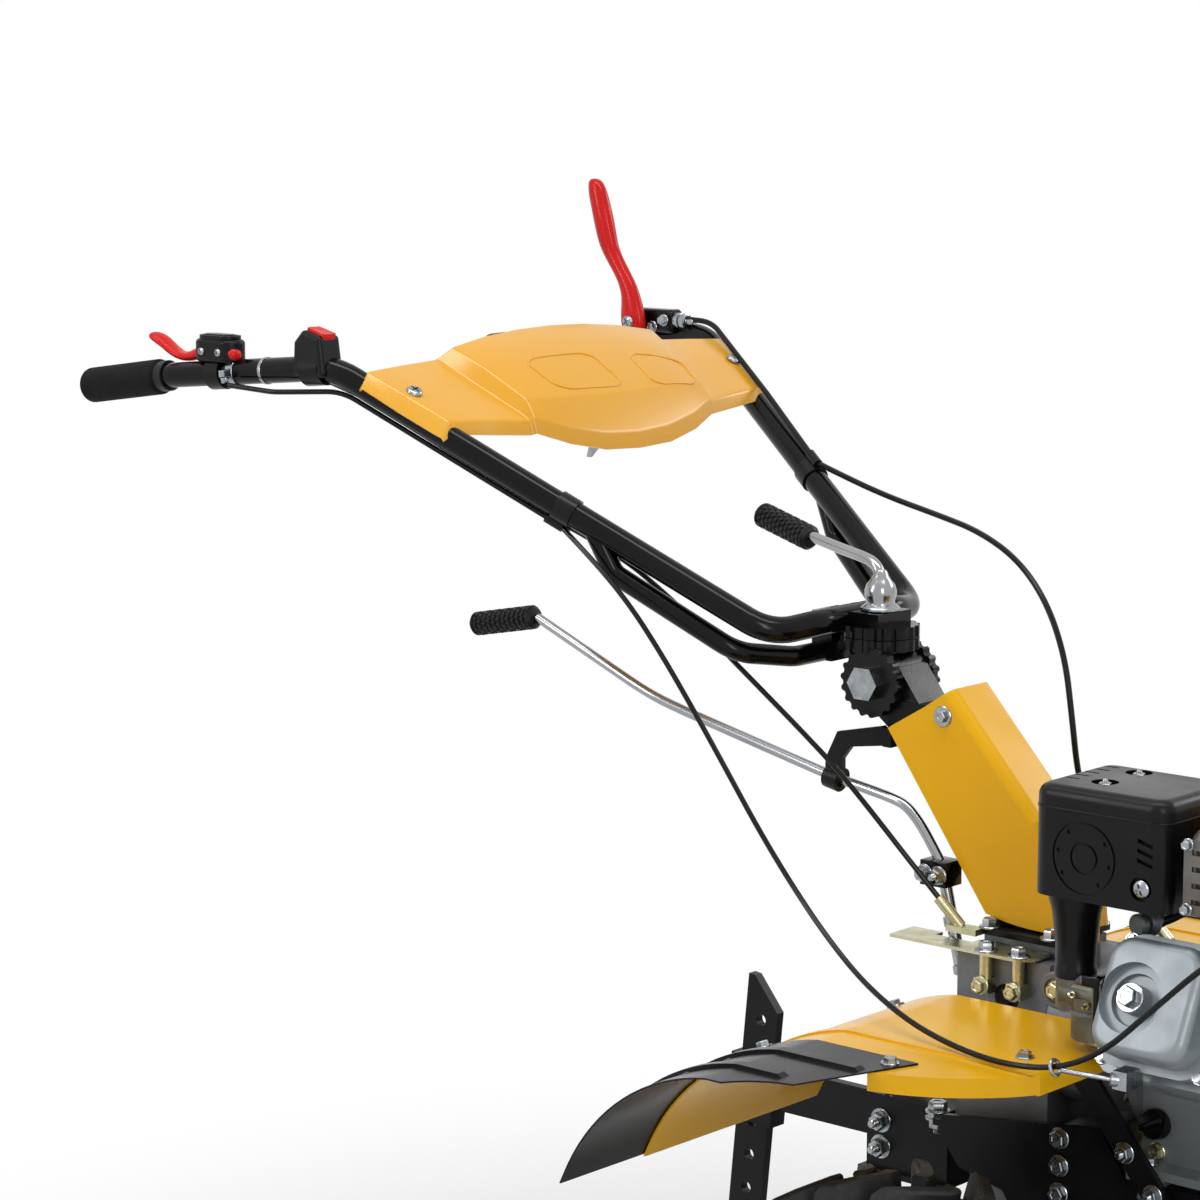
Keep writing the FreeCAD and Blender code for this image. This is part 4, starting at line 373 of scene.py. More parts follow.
    # Aluminised steel of the exhaust, dulled and straw-coloured by heat.
    EXHAUST = Speckled("heat_worn_steel", "6F6E6C", "5C5550", metallic=0.9, roughness=0.45,
                       patch_mm=35, grain_mm=1.5, relief_mm=0.03, speck="7C6A55", speck_mm=9,
                       speck_share=0.4)
    # Tyre rubber: charcoal, with paler dust on it.
    TYRE_RUBBER = Speckled("vulcanised_tread_rubber", "151516", "202021", roughness=0.6, spread=0.08, ior=1.4,
                           patch_mm=45, grain_mm=1.2, relief_mm=0.05, speck="3A3936", speck_mm=7,
                           speck_share=0.35)
    # Closed-cell foam sleeve: matt black, pebbled.
    FOAM = Cellular("closed_cell_foam", "060607", "0C0C0D", roughness=0.85, spread=0.05, ior=1.3,
                    patch_mm=15, grain_mm=1.3, relief_mm=0.35)
    # Moulded rubber of the lever grips: soft sheen.
    GRIP_RUBBER = Finish("moulded_lever_rubber", "0A0A0B", "121213", roughness=0.42, ior=1.32, patch_mm=20,
                         grain_mm=0.8, relief_mm=0.04)
    # Extruded PVC over the cable's liner: a low even gloss.
    SHEATH = Finish("pvc_sheath", "08090A", "0F1011", roughness=0.28, spread=0.05, ior=1.3, patch_mm=30,
                    grain_mm=1.5, relief_mm=0.015)


SLOT_FINISH: dict[str, Finish] = {
    "yellow_paint": Finishes.YELLOW_ENAMEL,
    "yellow_cover": Finishes.YELLOW_ABS,
    "black_paint": Finishes.BLACK_ENAMEL,
    "satin_black_paint": Finishes.BLACK_POWDER,
    "fender_black": Finishes.SATIN_ENAMEL,
    "rim_paint": Finishes.RIM_ENAMEL,
    "red_paint": Finishes.RED_ENAMEL,
    "red_plastic": Finishes.RED_ABS,
    "orange_plastic": Finishes.ORANGE_CAP,
    "black_plastic": Finishes.BLACK_ABS,
    "cast_aluminium": Finishes.SAND_CAST,
    "die_cast_aluminium": Finishes.DIE_CAST,
    "cast_steel": Finishes.PAINTED_IRON,
    "hub_iron": Finishes.GREY_IRON,
    "bare_steel": Finishes.TURNED_STEEL,
    "zinc_steel": Finishes.YELLOW_ZINC,
    "chrome": Finishes.CHROME,
    "muffler_steel": Finishes.EXHAUST,
    "tyre_rubber": Finishes.TYRE_RUBBER,
    "foam": Finishes.FOAM,
    "grip_rubber": Finishes.GRIP_RUBBER,
    "cable_sheath": Finishes.SHEATH,
}


# Nodes whose finish differs from the rest of their slot.
NODE_FINISH: dict[str, Finish] = {
    "tilt_bolt": Finishes.CLEAR_ZINC,
    "carburettor": Finishes.CARB_ALLOY,
    "cable_eye": Finishes.CLEAR_ZINC,
}


# ------------------------------------------------------------------ modelling bench


class Bench:
    """The few moves that every piece is modelled with."""

    HOSE_FACETS = 6
    HOSE_SMOOTH_DEG = 50
    DRAWN_SMOOTH_DEG = 60
    AXIS_TOLERANCE = 1e-5
    WELD = 1e-6

    @staticmethod
    def clear() -> None:
        """Leaves edit mode and deselects everything."""
        if bpy.context.object is not None and bpy.context.object.mode != "OBJECT":
            bpy.ops.object.mode_set(mode="OBJECT")
        bpy.ops.object.select_all(action="DESELECT")

    @staticmethod
    def choose(piece: bpy.types.Object) -> None:
        """Makes one piece the only selected and the active one.

        Args:
            piece: the mesh or curve to work on next.
        """
        Bench.clear()
        piece.select_set(True)
        bpy.context.view_layer.objects.active = piece

    @staticmethod
    def link(name: str, data: bpy.types.ID) -> bpy.types.Object:
        """Puts new data into the scene.

        Args:
            name: the object's name.
            data: its curve, camera or lamp.

        Returns:
            The object.
        """
        made = bpy.data.objects.new(name, data)
        bpy.context.scene.collection.objects.link(made)
        return made

    @staticmethod
    def start(name: str) -> bpy.types.Object:
        """Names the primitive that was just added.

        Args:
            name: the piece's name, and its mesh's.

        Returns:
            The piece.
        """
        made = bpy.context.object
        made.name = name
        made.data.name = name
        return made

    @staticmethod
    def block(name: str, low: Sequence[float], high: Sequence[float]) -> bpy.types.Object:
        """Adds a block between two corners.

        Args:
            name: the piece's name.
            low: lowest corner.
            high: highest corner.

        Returns:
            The block.
        """
        Bench.clear()
        middle = [(a + b) / 2 for a, b in zip(low, high)]
        bpy.ops.mesh.primitive_cube_add(size=1, location=middle)
        bpy.context.object.scale = [b - a for a, b in zip(low, high)]
        bpy.ops.object.transform_apply(location=True, scale=True)
        return Bench.start(name)

    @staticmethod
    def edit(piece: bpy.types.Object, pick: Pick, rule: Callable[[Any], bool]) -> None:
        """Opens a piece for editing with what the rule accepts selected.

        Args:
            piece: the mesh to edit.
            pick: whether vertices, edges or faces are tested.
            rule: says for a vertex, an edge's two ends or a face whether it is taken.
        """
        Bench.choose(piece)
        bpy.context.tool_settings.mesh_select_mode = pick.value
        bpy.ops.object.mode_set(mode="EDIT")
        bpy.ops.mesh.select_all(action="DESELECT")
        bpy.ops.object.mode_set(mode="OBJECT")
        mesh = piece.data
        if pick is Pick.EDGES:
            for edge in mesh.edges:
                edge.select = rule([mesh.vertices[i].co for i in edge.vertices])
        else:
            for element in mesh.polygons if pick is Pick.FACES else mesh.vertices:
                element.select = rule(element)
        bpy.ops.object.mode_set(mode="EDIT")

    @staticmethod
    def done(piece: bpy.types.Object, smooth_deg: float = 35.0) -> bpy.types.Object:
        """Ends the editing and shades the piece smooth up to an angle.

        Args:
            piece: the mesh that is finished.
            smooth_deg: the sharpest angle between faces that is still shaded smooth.

        Returns:
            The same piece.
        """
        Bench.choose(piece)
        bpy.ops.object.shade_smooth_by_angle(angle=math.radians(smooth_deg))
        return piece

    @staticmethod
    def recalculated(piece: bpy.types.Object) -> bpy.types.Object:
        """Turns all of a closed piece's faces outwards.

        Args:
            piece: the closed mesh.

        Returns:
            The same piece.
        """
        Bench.edit(piece, Pick.FACES, lambda face: True)
        bpy.ops.mesh.normals_make_consistent(inside=False)
        Bench.clear()
        return piece

    @staticmethod
    def turned(name: str, profile: Sequence[tuple[float, float]], sides: int = 24,
               ring: bool = False) -> bpy.types.Object:
        """Shapes a solid of revolution about Z by extruding and resizing a circle from step to step.

        Args:
            name: the piece's name.
            profile: radius and height of each step, in millimetres.
            sides: faces round it.
            ring: whether the profile closes round a hole.

        Returns:
            The closed piece.
        """
        Bench.clear()
        radius, height = profile[0]
        bpy.ops.mesh.primitive_circle_add(vertices=sides, radius=radius * MM, location=(0, 0, height * MM),
                                          fill_type="NOTHING" if ring else "NGON")
        bpy.ops.object.transform_apply(location=True)
        piece = Bench.start(name)
        bpy.context.tool_settings.mesh_select_mode = Pick.VERTICES.value
        bpy.ops.object.mode_set(mode="EDIT")
        bpy.ops.mesh.select_all(action="SELECT")
        for wide, high in list(profile[1:]) + ([profile[0]] if ring else []):
            bpy.ops.mesh.extrude_region_move(
                TRANSFORM_OT_translate={"value": (0, 0, (high - height) * MM)})
            grow = wide / radius
            bpy.ops.transform.resize(value=(grow, grow, 1), center_override=(0, 0, high * MM))
            radius, height = wide, high
        bpy.ops.mesh.select_all(action="SELECT")
        if ring:
            bpy.ops.mesh.remove_doubles(threshold=Bench.WELD)
        bpy.ops.mesh.normals_make_consistent(inside=False)
        return Bench.done(piece)

    @staticmethod
    def round_corners(piece: bpy.types.Object, axis: int, radius_mm: float, segments: int) -> None:
        """Rounds the corners of a plate, which are its edges that run through its thickness.

        Args:
            piece: the plate.
            axis: 0, 1 or 2 for the axis that the thickness lies along.
            radius_mm: how far each corner is cut back.
            segments: faces round each corner.
        """
        Bench.edit(piece, Pick.EDGES, lambda ends: abs(ends[0][axis] - ends[1][axis]) > Bench.AXIS_TOLERANCE)
        bpy.ops.mesh.bevel(offset=radius_mm * MM, segments=segments)
        Bench.clear()

    @staticmethod
    def drawn(name: str, steps: Sequence[tuple[Vector, float, float]], axis: str) -> bpy.types.Object:
        """Draws a soft bar out of a block, one extrusion to each step, and rounds it by subdivision.

        Args:
            name: the piece's name.
            steps: centre in metres, half thickness and half width in millimetres of each section. The
                half width is across Y, the half thickness across the other free axis.
            axis: X or Z, the axis that the sections are square to.

        Returns:
            The closed piece.
        """
        centre, thick, wide = steps[0]
        half = Vector((thick, wide, 0)) if axis == "Z" else Vector((0, wide, thick))
        bar = Bench.block(name, centre - half * MM, centre + half * MM + Vector((0, 0, 1e-4) if axis == "Z"
                                                                               else (1e-4, 0, 0)))
        toward = 1 if axis == "Z" else -1
        place = 2 if axis == "Z" else 0
        Bench.edit(bar, Pick.FACES, lambda f: f.normal[place] * toward > 0.9)
        for following, next_thick, next_wide in steps[1:]:
            bpy.ops.mesh.extrude_region_move(TRANSFORM_OT_translate={"value": following - centre})
            grow = (next_thick / thick, next_wide / wide, 1) if axis == "Z" else (1, next_wide / wide,
                                                                                 next_thick / thick)
            bpy.ops.transform.resize(value=grow, center_override=following)
            centre, thick, wide = following, next_thick, next_wide
        Bench.clear()
        Bench.recalculated(bar)
        Bench.modify(bar, "SUBSURF", levels=2, render_levels=2)
        return Bench.done(bar, Bench.DRAWN_SMOOTH_DEG)

    @staticmethod
    def line(name: str, points: Sequence[Vector]) -> bpy.types.Object:
        """Lays a smooth curve along its control points.

        Args:
            name: the curve's name.
            points: the control points, in metres.

        Returns:
            The curve.
        """
        curve = bpy.data.curves.new(name, "CURVE")
        curve.dimensions = "3D"
        spline = curve.splines.new("NURBS")
        spline.points.add(len(points) - 1)
        for point, place in zip(spline.points, points):
            point.co = (*place, 1.0)
        spline.order_u = 3
        spline.use_endpoint_u = True
        return Bench.link(name, curve)

    @staticmethod
    def sleeved(line: bpy.types.Object, radius_mm: float, facets: int) -> bpy.types.Object:
        """Turns a curve into a closed round mesh along it.

        Args:
            line: the curve.
            radius_mm: the mesh's radius.
            facets: how finely its round is split.

        Returns:
            The mesh, under the curve's name.
        """
        line.data.bevel_depth = radius_mm * MM
        line.data.bevel_resolution = facets
        line.data.use_fill_caps = True
        Bench.choose(line)
        bpy.ops.object.convert(target="MESH")
        return Bench.start(line.name)

    @staticmethod
    def hose(name: str, points: Sequence[Vector], radius_mm: float) -> bpy.types.Object:
        """Shapes a round hose or rod along a smooth line.

        Args:
            name: the piece's name.
            points: the line's control points, in metres.
            radius_mm: the hose's radius.

        Returns:
            The closed piece.
        """
        return Bench.done(Bench.sleeved(Bench.line(name, points), radius_mm, Bench.HOSE_FACETS),
                          Bench.HOSE_SMOOTH_DEG)

    @staticmethod
    def modify(piece: bpy.types.Object, kind: str, **settings: Any) -> None:
        """Adds a modifier with its settings and applies it.

        Args:
            piece: the mesh that it changes.
            kind: the modifier's type.
            settings: attributes of the modifier.
        """
        Bench.choose(piece)
        modifier = piece.modifiers.new(kind.title(), kind)
        for name, value in settings.items():
            setattr(modifier, name, value)
        bpy.ops.object.modifier_apply(modifier=modifier.name)

    @staticmethod
    def join(name: str, parts: Sequence[bpy.types.Object]) -> bpy.types.Object:
        """Joins meshes into one piece.

        Args:
            name: the joined piece's name.
            parts: the meshes, which are used up.

        Returns:
            The joined piece.
        """
        Bench.clear()
        for part in parts:
            part.select_set(True)
        bpy.context.view_layer.objects.active = parts[0]
        if len(parts) > 1:
            bpy.ops.object.join()
        return Bench.start(name)

    @staticmethod
    def copies(name: str, model: bpy.types.Object, places: Sequence[Matrix]) -> bpy.types.Object:
        """Copies a model to each place, joins the copies and drops the model.

        Args:
            name: the joined piece's name.
            model: the piece that is repeated.
            places: where each copy goes.

        Returns:
            The joined piece.
        """
        made = []
        for place in places:
            twin = model.copy()
            twin.data = model.data.copy()
            twin.data.transform(place)
            bpy.context.scene.collection.objects.link(twin)
            made.append(twin)
        bpy.data.objects.remove(model)
        return Bench.join(name, made)

    @staticmethod
    def facing(point: Sequence[float], axis: Sequence[float], turn_deg: float = 0.0) -> Matrix:
        """The place of a piece modelled along +Z that stands at a point and points along an axis.

        Args:
            point: where its foot stands, in metres.
            axis: the direction that its +Z is turned to.
            turn_deg: how far it is spun about its own Z first.

        Returns:
            The matrix that takes it there.
        """
        towards = Vector(axis).to_track_quat("Z", "Y").to_matrix().to_4x4()
        spin = Matrix.Rotation(math.radians(turn_deg), 4, "Z")
        return Matrix.Translation(Vector(point)) @ towards @ spin

    @staticmethod
    def dress(piece: bpy.types.Object, finish: Finish = Finishes.CLEAR_ZINC, slot: str = "zinc_steel",
              body: Body = Body.CHASSIS) -> None:
        """Gives a piece its finish and the body that it rides on.

        Args:
            piece: the finished mesh.
            finish: what it is plated, painted or moulded in.
            slot: its slot in the record; not used.
            body: the body that it rides on.
        """
        piece.data.materials.clear()
        piece.data.materials.append(finish.material())
        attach(piece, body.value)
        LOG.info("%s: %d faces on %s", piece.name, len(piece.data.polygons), body.value)


# ------------------------------------------------------------------ the frame


class Frame:
    """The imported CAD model, and the places that the pieces are worked out from."""

    WELD_MM = 0.002
    CREASE_DEG = 28

    def __init__(self) -> None:
        """Loads the frame and notes the axle's place."""
        self.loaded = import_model()
        low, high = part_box("drive_axle")
        self.axle_x = (low.x + high.x) / 2

    def at(self, x: float, y: float, z: float) -> Vector:
        """A point given in millimetres from the point on the floor under the axle."""
        return Vector((self.axle_x + x * MM, y * MM, z * MM))

    def circle(self, x: float, centre: float, radius: float, turns: Sequence[float],
               toward: int) -> list[Matrix]:
        """The places of bolts on a circle that is square to X.

        Args:
            x: where the circle stands, in millimetres like the rest.
            centre: the height of its middle.
            radius: its radius.
            turns: the angle of each bolt, in degrees.
            toward: 1 or -1 for the way along X that the heads point.

        Returns:
            One matrix for each bolt.
        """
        places = []
        for turn in turns:
            angle = math.radians(turn)
            point = self.at(x, radius * math.cos(angle), centre + radius * math.sin(angle))
            places.append(Bench.facing(point, (toward, 0, 0), turn))
        return places

    def paint(self) -> None:
        """Gives each CAD node the finish of its slot."""
        slots = {row["node"]: row["material_slot"] for row in self.loaded["record"]["subparts"]}
        for node, piece in self.loaded["nodes"].items():
            finish = NODE_FINISH.get(node, SLOT_FINISH[slots[node]])
            piece.data.materials.clear()
            piece.data.materials.append(finish.material())
            piece.data.polygons.foreach_set("use_smooth", [True] * len(piece.data.polygons))
            merged = piece.modifiers.new("Weld", "WELD")
            merged.merge_threshold = self.WELD_MM * MM
            split = piece.modifiers.new("Split", "EDGE_SPLIT")
            split.split_angle = math.radians(self.CREASE_DEG)
            split.use_edge_sharp = False
            piece.modifiers.new("Weighted", "WEIGHTED_NORMAL")


# ------------------------------------------------------------------ stage


@dataclass
class Studio:
    """White studio: floor, world, lamps and the camera."""

    frame: Frame
    camera_at: tuple[float, float, float] = (1712.0, -2650.0, 1407.0)
    azimuth_deg: float = 41.5
    pitch_deg: float = 8.8
    lens: float = 105.0
    sensor: float = 36.0
    ambient: float = 0.42
    floor_size: float = 60.0
    floor_drop: float = 0.0005
    # Each lamp: its name, its place and the height that it shines at, then its width, height and watts.
    lamps: tuple[tuple[str, tuple[float, float, float], float, float, float, float], ...] = (
        ("overhead", (0.2, -0.5, 3.2), 0.6, 2.8, 0.6, 37),
        ("key", (-1.7, -3.0, 2.4), 0.8, 0.5, 2.0, 32),
        ("side", (2.9, -2.3, 2.0), 0.7, 0.6, 2.0, 31),
        ("rim", (1.4, 2.8, 2.4), 0.8, 2.0, 0.6, 22),
    )

    def camera(self) -> None:
        """Sets the camera at the side, at handle height, looking back along the machine."""
        data = bpy.data.cameras.new("camera")
        data.lens = self.lens
        data.sensor_width = self.sensor
        data.clip_end = 100.0
        made = Bench.link("camera", data)
        made.location = self.frame.at(*self.camera_at)
        azimuth, pitch = math.radians(self.azimuth_deg), math.radians(self.pitch_deg)
        look = Vector((-math.sin(azimuth) * math.cos(pitch), math.cos(azimuth) * math.cos(pitch),
                       -math.sin(pitch)))
        made.rotation_mode = "QUATERNION"
        made.rotation_quaternion = look.to_track_quat("-Z", "Y")
        bpy.context.scene.camera = made

    def seen(self, tree: bpy.types.NodeTree) -> bpy.types.NodeSocket:
        """Tells apart the rays that show the backdrop: seen, mirrored or let through.

        Args:
            tree: the node tree that asks.

        Returns:
            A socket that is 1 for those rays and 0 for the rest.
        """
        path = add_node(tree, "LightPath")
        first = add_node(tree, "Math", {
            0: path.outputs["Is Camera Ray"], 1: path.outputs["Is Glossy Ray"]}, operation="MAXIMUM")
        both = add_node(tree, "Math", {
            0: first.outputs[0], 1: path.outputs["Is Transmission Ray"]}, operation="MAXIMUM")
        return both.outputs[0]

    def world(self) -> None:
        """Lights the scene evenly from all sides, before a white backdrop."""
        world = bpy.data.worlds.new("studio")
        tree = empty_tree(world)
        light = add_node(tree, "Background", {"Color": (1, 1, 1, 1), "Strength": self.ambient})
        white = add_node(tree, "Background", {"Color": (1, 1, 1, 1), "Strength": 1.0})
        mixed = add_node(tree, "MixShader", {0: self.seen(tree), 1: light.outputs[0], 2: white.outputs[0]})
        add_node(tree, "OutputWorld", {"Surface": mixed.outputs[0]})
        bpy.context.scene.world = world

    def floor(self) -> None:
        """A pale floor that keeps the machine's shadow and runs out into the white backdrop."""
        Bench.clear()
        bpy.ops.mesh.primitive_plane_add(size=self.floor_size, location=(0, 0, -self.floor_drop))
        floor = Bench.start("floor")
        made = bpy.data.materials.new("painted_studio_floor")
        tree = empty_tree(made)
        coords = add_node(tree, "TexCoord")
        far = add_node(tree, "VectorMath", {0: coords.outputs["Object"]}, operation="LENGTH")
        share = add_node(tree, "MapRange", {
            "Value": far.outputs["Value"], "From Min": 0.5, "From Max": 1.5}, interpolation_type="SMOOTHSTEP")
        fade = add_node(tree, "Math", {0: share.outputs[0], 1: self.seen(tree)}, operation="MULTIPLY")
        paint = add_node(tree, "BsdfDiffuse", {"Color": srgb("F4F4F4")})
        white = add_node(tree, "Emission", {"Color": (1, 1, 1, 1), "Strength": 1.0})
        mixed = add_node(tree, "MixShader", {0: fade.outputs[0], 1: paint.outputs[0], 2: white.outputs[0]})
        add_node(tree, "OutputMaterial", {"Surface": mixed.outputs[0]})
        floor.data.materials.append(made)

    def lamp(self, name: str, place: Sequence[float], aim: Sequence[float], wide: float, tall: float,
             power: float) -> None:
        """Adds one soft panel lamp.

        Args:
            name: the lamp's name.
            place: where it hangs, in metres.
            aim: the point that it shines at.
            wide: its width in metres.
            tall: its height in metres.
            power: in watts.
        """
        data = bpy.data.lights.new(name, "AREA")
        data.shape = "RECTANGLE"
        data.size = wide
        data.size_y = tall
        data.energy = power
        made = Bench.link(name, data)
        made.location = place
        made.rotation_mode = "QUATERNION"
        made.rotation_quaternion = (Vector(aim) - Vector(place)).to_track_quat("-Z", "Y")

    def build(self) -> None:
        """Sets up the whole studio."""
        scene = bpy.context.scene
        scene.view_settings.view_transform = "Standard"
        self.camera()
        self.world()
        self.floor()
        for name, place, aim_z, wide, tall, power in self.lamps:
            self.lamp(name, place, (0.0, 0.0, aim_z), wide, tall, power)


# ------------------------------------------------------------------ cables


@dataclass
class Cable:
    """One control cable that lies free between the handlebar and the machine."""

    frame: Frame
    node: str
    diameter_mm: float
    length_mm: float
    route: Sequence[tuple[float, float, float]]
    bend_from: tuple[float, float, float]
    bend_to: tuple[float, float, float]
    facets: int = 3

    def build(self) -> None:
        """Makes the cable's tube, which bends where the handlebar swivels."""
        points = [self.frame.at(*(c / MM for c in place)) for place in self.route]
        line = Bench.line(self.node + "_sheath", points)
        bpy.context.view_layer.update()
        depsgraph = bpy.context.evaluated_depsgraph_get()
        plain = bpy.data.meshes.new_from_object(line.evaluated_get(depsgraph))
        path = [tuple(v.co) for v in plain.vertices]
        bpy.data.meshes.remove(plain)
        tube = Bench.done(Bench.sleeved(line, self.diameter_mm / 2, self.facets))
        tube.data.materials.clear()
        tube.data.materials.append(Finishes.SHEATH.material())
        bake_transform(tube, Body.CHASSIS.value, Body.HANDLEBAR.value,
                 start=self.frame.at(*self.bend_from), end=self.frame.at(*self.bend_to))
        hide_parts(self.node)
        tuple(path[0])
        LOG.info("%s: %d faces", tube.name, len(tube.data.polygons))


THROTTLE_ROUTE = [
    (-0.514, -0.192, 0.966), (-0.474, -0.194, 0.940), (-0.428, -0.193, 0.902), (-0.390, -0.190, 0.858),
    (-0.350, -0.186, 0.804), (-0.313, -0.182, 0.751), (-0.275, -0.181, 0.700), (-0.232, -0.185, 0.655),
    (-0.183, -0.196, 0.617), (-0.128, -0.213, 0.588), (-0.066, -0.233, 0.570), (-0.004, -0.252, 0.563),
    (0.056, -0.264, 0.561), (0.110, -0.262, 0.566), (0.157, -0.263, 0.589), (0.204, -0.262, 0.634),
    (0.246, -0.248, 0.678), (0.282, -0.222, 0.704), (0.306, -0.186, 0.712),
]
REVERSE_ROUTE = [
    (-0.509, -0.178, 0.961), (-0.474, -0.150, 0.936), (-0.434, -0.130, 0.901), (-0.392, -0.114, 0.862),
    (-0.350, -0.100, 0.822), (-0.306, -0.090, 0.784), (-0.262, -0.082, 0.746), (-0.222, -0.076, 0.706),
    (-0.188, -0.068, 0.668), (-0.160, -0.058, 0.634),
]
CLUTCH_ROUTE = [
    (-0.499, 0.186, 0.995), (-0.446, 0.178, 0.981), (-0.388, 0.170, 0.968), (-0.322, 0.154, 0.959),
    (-0.256, 0.134, 0.950), (-0.196, 0.114, 0.930), (-0.150, 0.096, 0.896), (-0.120, 0.084, 0.848),
    (-0.108, 0.080, 0.792), (-0.100, 0.080, 0.736), (-0.082, 0.082, 0.684), (-0.050, 0.084, 0.642),
    (-0.012, 0.078, 0.612),
]


# ------------------------------------------------------------------ fasteners


class Fasteners:
    """Models of the machine's bolts, nuts, screws and rings, each standing on the origin along +Z.

    SUNK_MM is how deep a head stands in what it is screwed to, WASHER_MM the thickness of its
    washer and THREAD_MM the pitch of a stud's thread.
    """

    SUNK_MM = 0.4
    WASHER_MM = 1.6
    THREAD_MM = 1.2

    @staticmethod
    def hex_bolt(flats_mm: float, head_mm: float, washer_mm: float = 0.0) -> bpy.types.Object:
        """Shapes a chamfered hexagon head with a dished top, on a washer where it has one.

        Args:
            flats_mm: width across the flats.
            head_mm: height of the head.
            washer_mm: radius of the washer under it, or 0 for none.

        Returns:
            The bolt's head.
        """
        corner = flats_mm / math.sqrt(3)
        sunk = Fasteners.SUNK_MM
        base = Fasteners.WASHER_MM if washer_mm else 0.0
        head = Bench.turned("head", [
            (corner, base - sunk), (corner, base + head_mm * 0.82), (corner * 0.88, base + head_mm),
            (corner * 0.55, base + head_mm), (corner * 0.48, base + head_mm * 0.9)], 6)
        if not washer_mm:
            return head
        washer = Bench.turned("washer", [
            (washer_mm, -sunk), (washer_mm, 1.0), (washer_mm - 0.6, base), (corner * 0.8, base)], 24)
        return Bench.join("bolt", [head, washer])

    @staticmethod
    def nut(flats_mm: float, height_mm: float, washer_mm: float, stud_mm: float) -> bpy.types.Object:
        """Shapes a nut on its washer, with the end of a threaded stud standing out of it.

        Args:
            flats_mm: width across the flats.
            height_mm: height of the nut.
            washer_mm: radius of the washer under it, or 0 for none.
            stud_mm: how far the stud stands out.

        Returns:
            The nut with its stud.
        """
        body = Fasteners.hex_bolt(flats_mm, height_mm, washer_mm)
        pitch = Fasteners.THREAD_MM
        core = flats_mm * 0.28
        top = Fasteners.WASHER_MM + height_mm
        steps = [(core, top - 1.0)]
        for k in range(int(stud_mm / pitch)):
            steps += [(core, top + pitch * k), (core * 0.86, top + pitch * k + pitch / 2)]
        stud = Bench.turned("stud", steps + [(core * 0.7, top + stud_mm)], 12)
        return Bench.join("nut", [body, stud])

    @staticmethod
    def cross_screw(radius_mm: float, head_mm: float) -> bpy.types.Object:
        """Shapes a domed screw head with a cross recess.

        Args:
            radius_mm: the head's radius.
            head_mm: its height.

        Returns:
            The screw's head.
        """
        head = Bench.turned("screw", [
            (radius_mm, -Fasteners.SUNK_MM), (radius_mm, head_mm * 0.3), (radius_mm * 0.9, head_mm * 0.66),
            (radius_mm * 0.66, head_mm * 0.92), (radius_mm * 0.3, head_mm)], 24)
        for wide, long in ((0.13, 0.6), (0.6, 0.13)):
            across, along = radius_mm * wide * MM, radius_mm * long * MM
            cut = Bench.block("cut", (-across, -along, head_mm * 0.35 * MM),
                              (across, along, head_mm * 1.4 * MM))
            Bench.modify(head, "BOOLEAN", operation="DIFFERENCE", object=cut)
            bpy.data.objects.remove(cut)
        return Bench.done(head)

    @staticmethod
    def plug(radius_mm: float, height_mm: float) -> bpy.types.Object:
        """Shapes a moulded oil plug: a faceted rim and a finger bar across its top.

        Args:
            radius_mm: the rim's radius.
            height_mm: height of the bar.

        Returns:
            The plug.
        """
        cap = Bench.turned("cap", [
            (radius_mm, -0.5), (radius_mm, height_mm * 0.45), (radius_mm * 0.92, height_mm * 0.55),
            (radius_mm * 0.8, height_mm * 0.5)], 16)
        long, wide = radius_mm * 0.85 * MM, radius_mm * 0.2 * MM
        bar = Bench.block("bar", (-long, -wide, height_mm * 0.4 * MM), (long, wide, height_mm * MM))
        Bench.modify(bar, "BEVEL", width=radius_mm * 0.12 * MM, segments=2)
        return Bench.join("plug", [cap, bar])

    @staticmethod
    def ring(inner_mm: float, outer_mm: float, wide_mm: float, sides: int = 32) -> bpy.types.Object:
        """Shapes a ring with softened edges, such as a collar, a seal or a band.

        Args:
            inner_mm: radius of its hole.
            outer_mm: its outer radius.
            wide_mm: its height along Z.
            sides: faces round it.

        Returns:
            The ring.
        """
        soft = min(wide_mm, outer_mm - inner_mm) * 0.25
        return Bench.turned("ring", [
            (inner_mm, 0), (outer_mm - soft, 0), (outer_mm, soft), (outer_mm, wide_mm - soft),
            (outer_mm - soft, wide_mm), (inner_mm, wide_mm)], sides, ring=True)

    @staticmethod
    def fit(name: str, model: bpy.types.Object, places: Sequence[Matrix],
            finish: Finish = Finishes.CLEAR_ZINC, slot: str = "zinc_steel",
            body: Body = Body.CHASSIS) -> None:
        """Copies a model to its places and dresses the group as one piece.

        Args:
            name: the group's name.
            model: the fastener that is repeated.
            places: where each one goes.
            finish: what it is plated or painted with.
            slot: its slot in the record.
            body: the body that it rides on.
        """
        Bench.dress(Bench.copies(name, model, places), finish, slot, body)


# ------------------------------------------------------------------ wheels


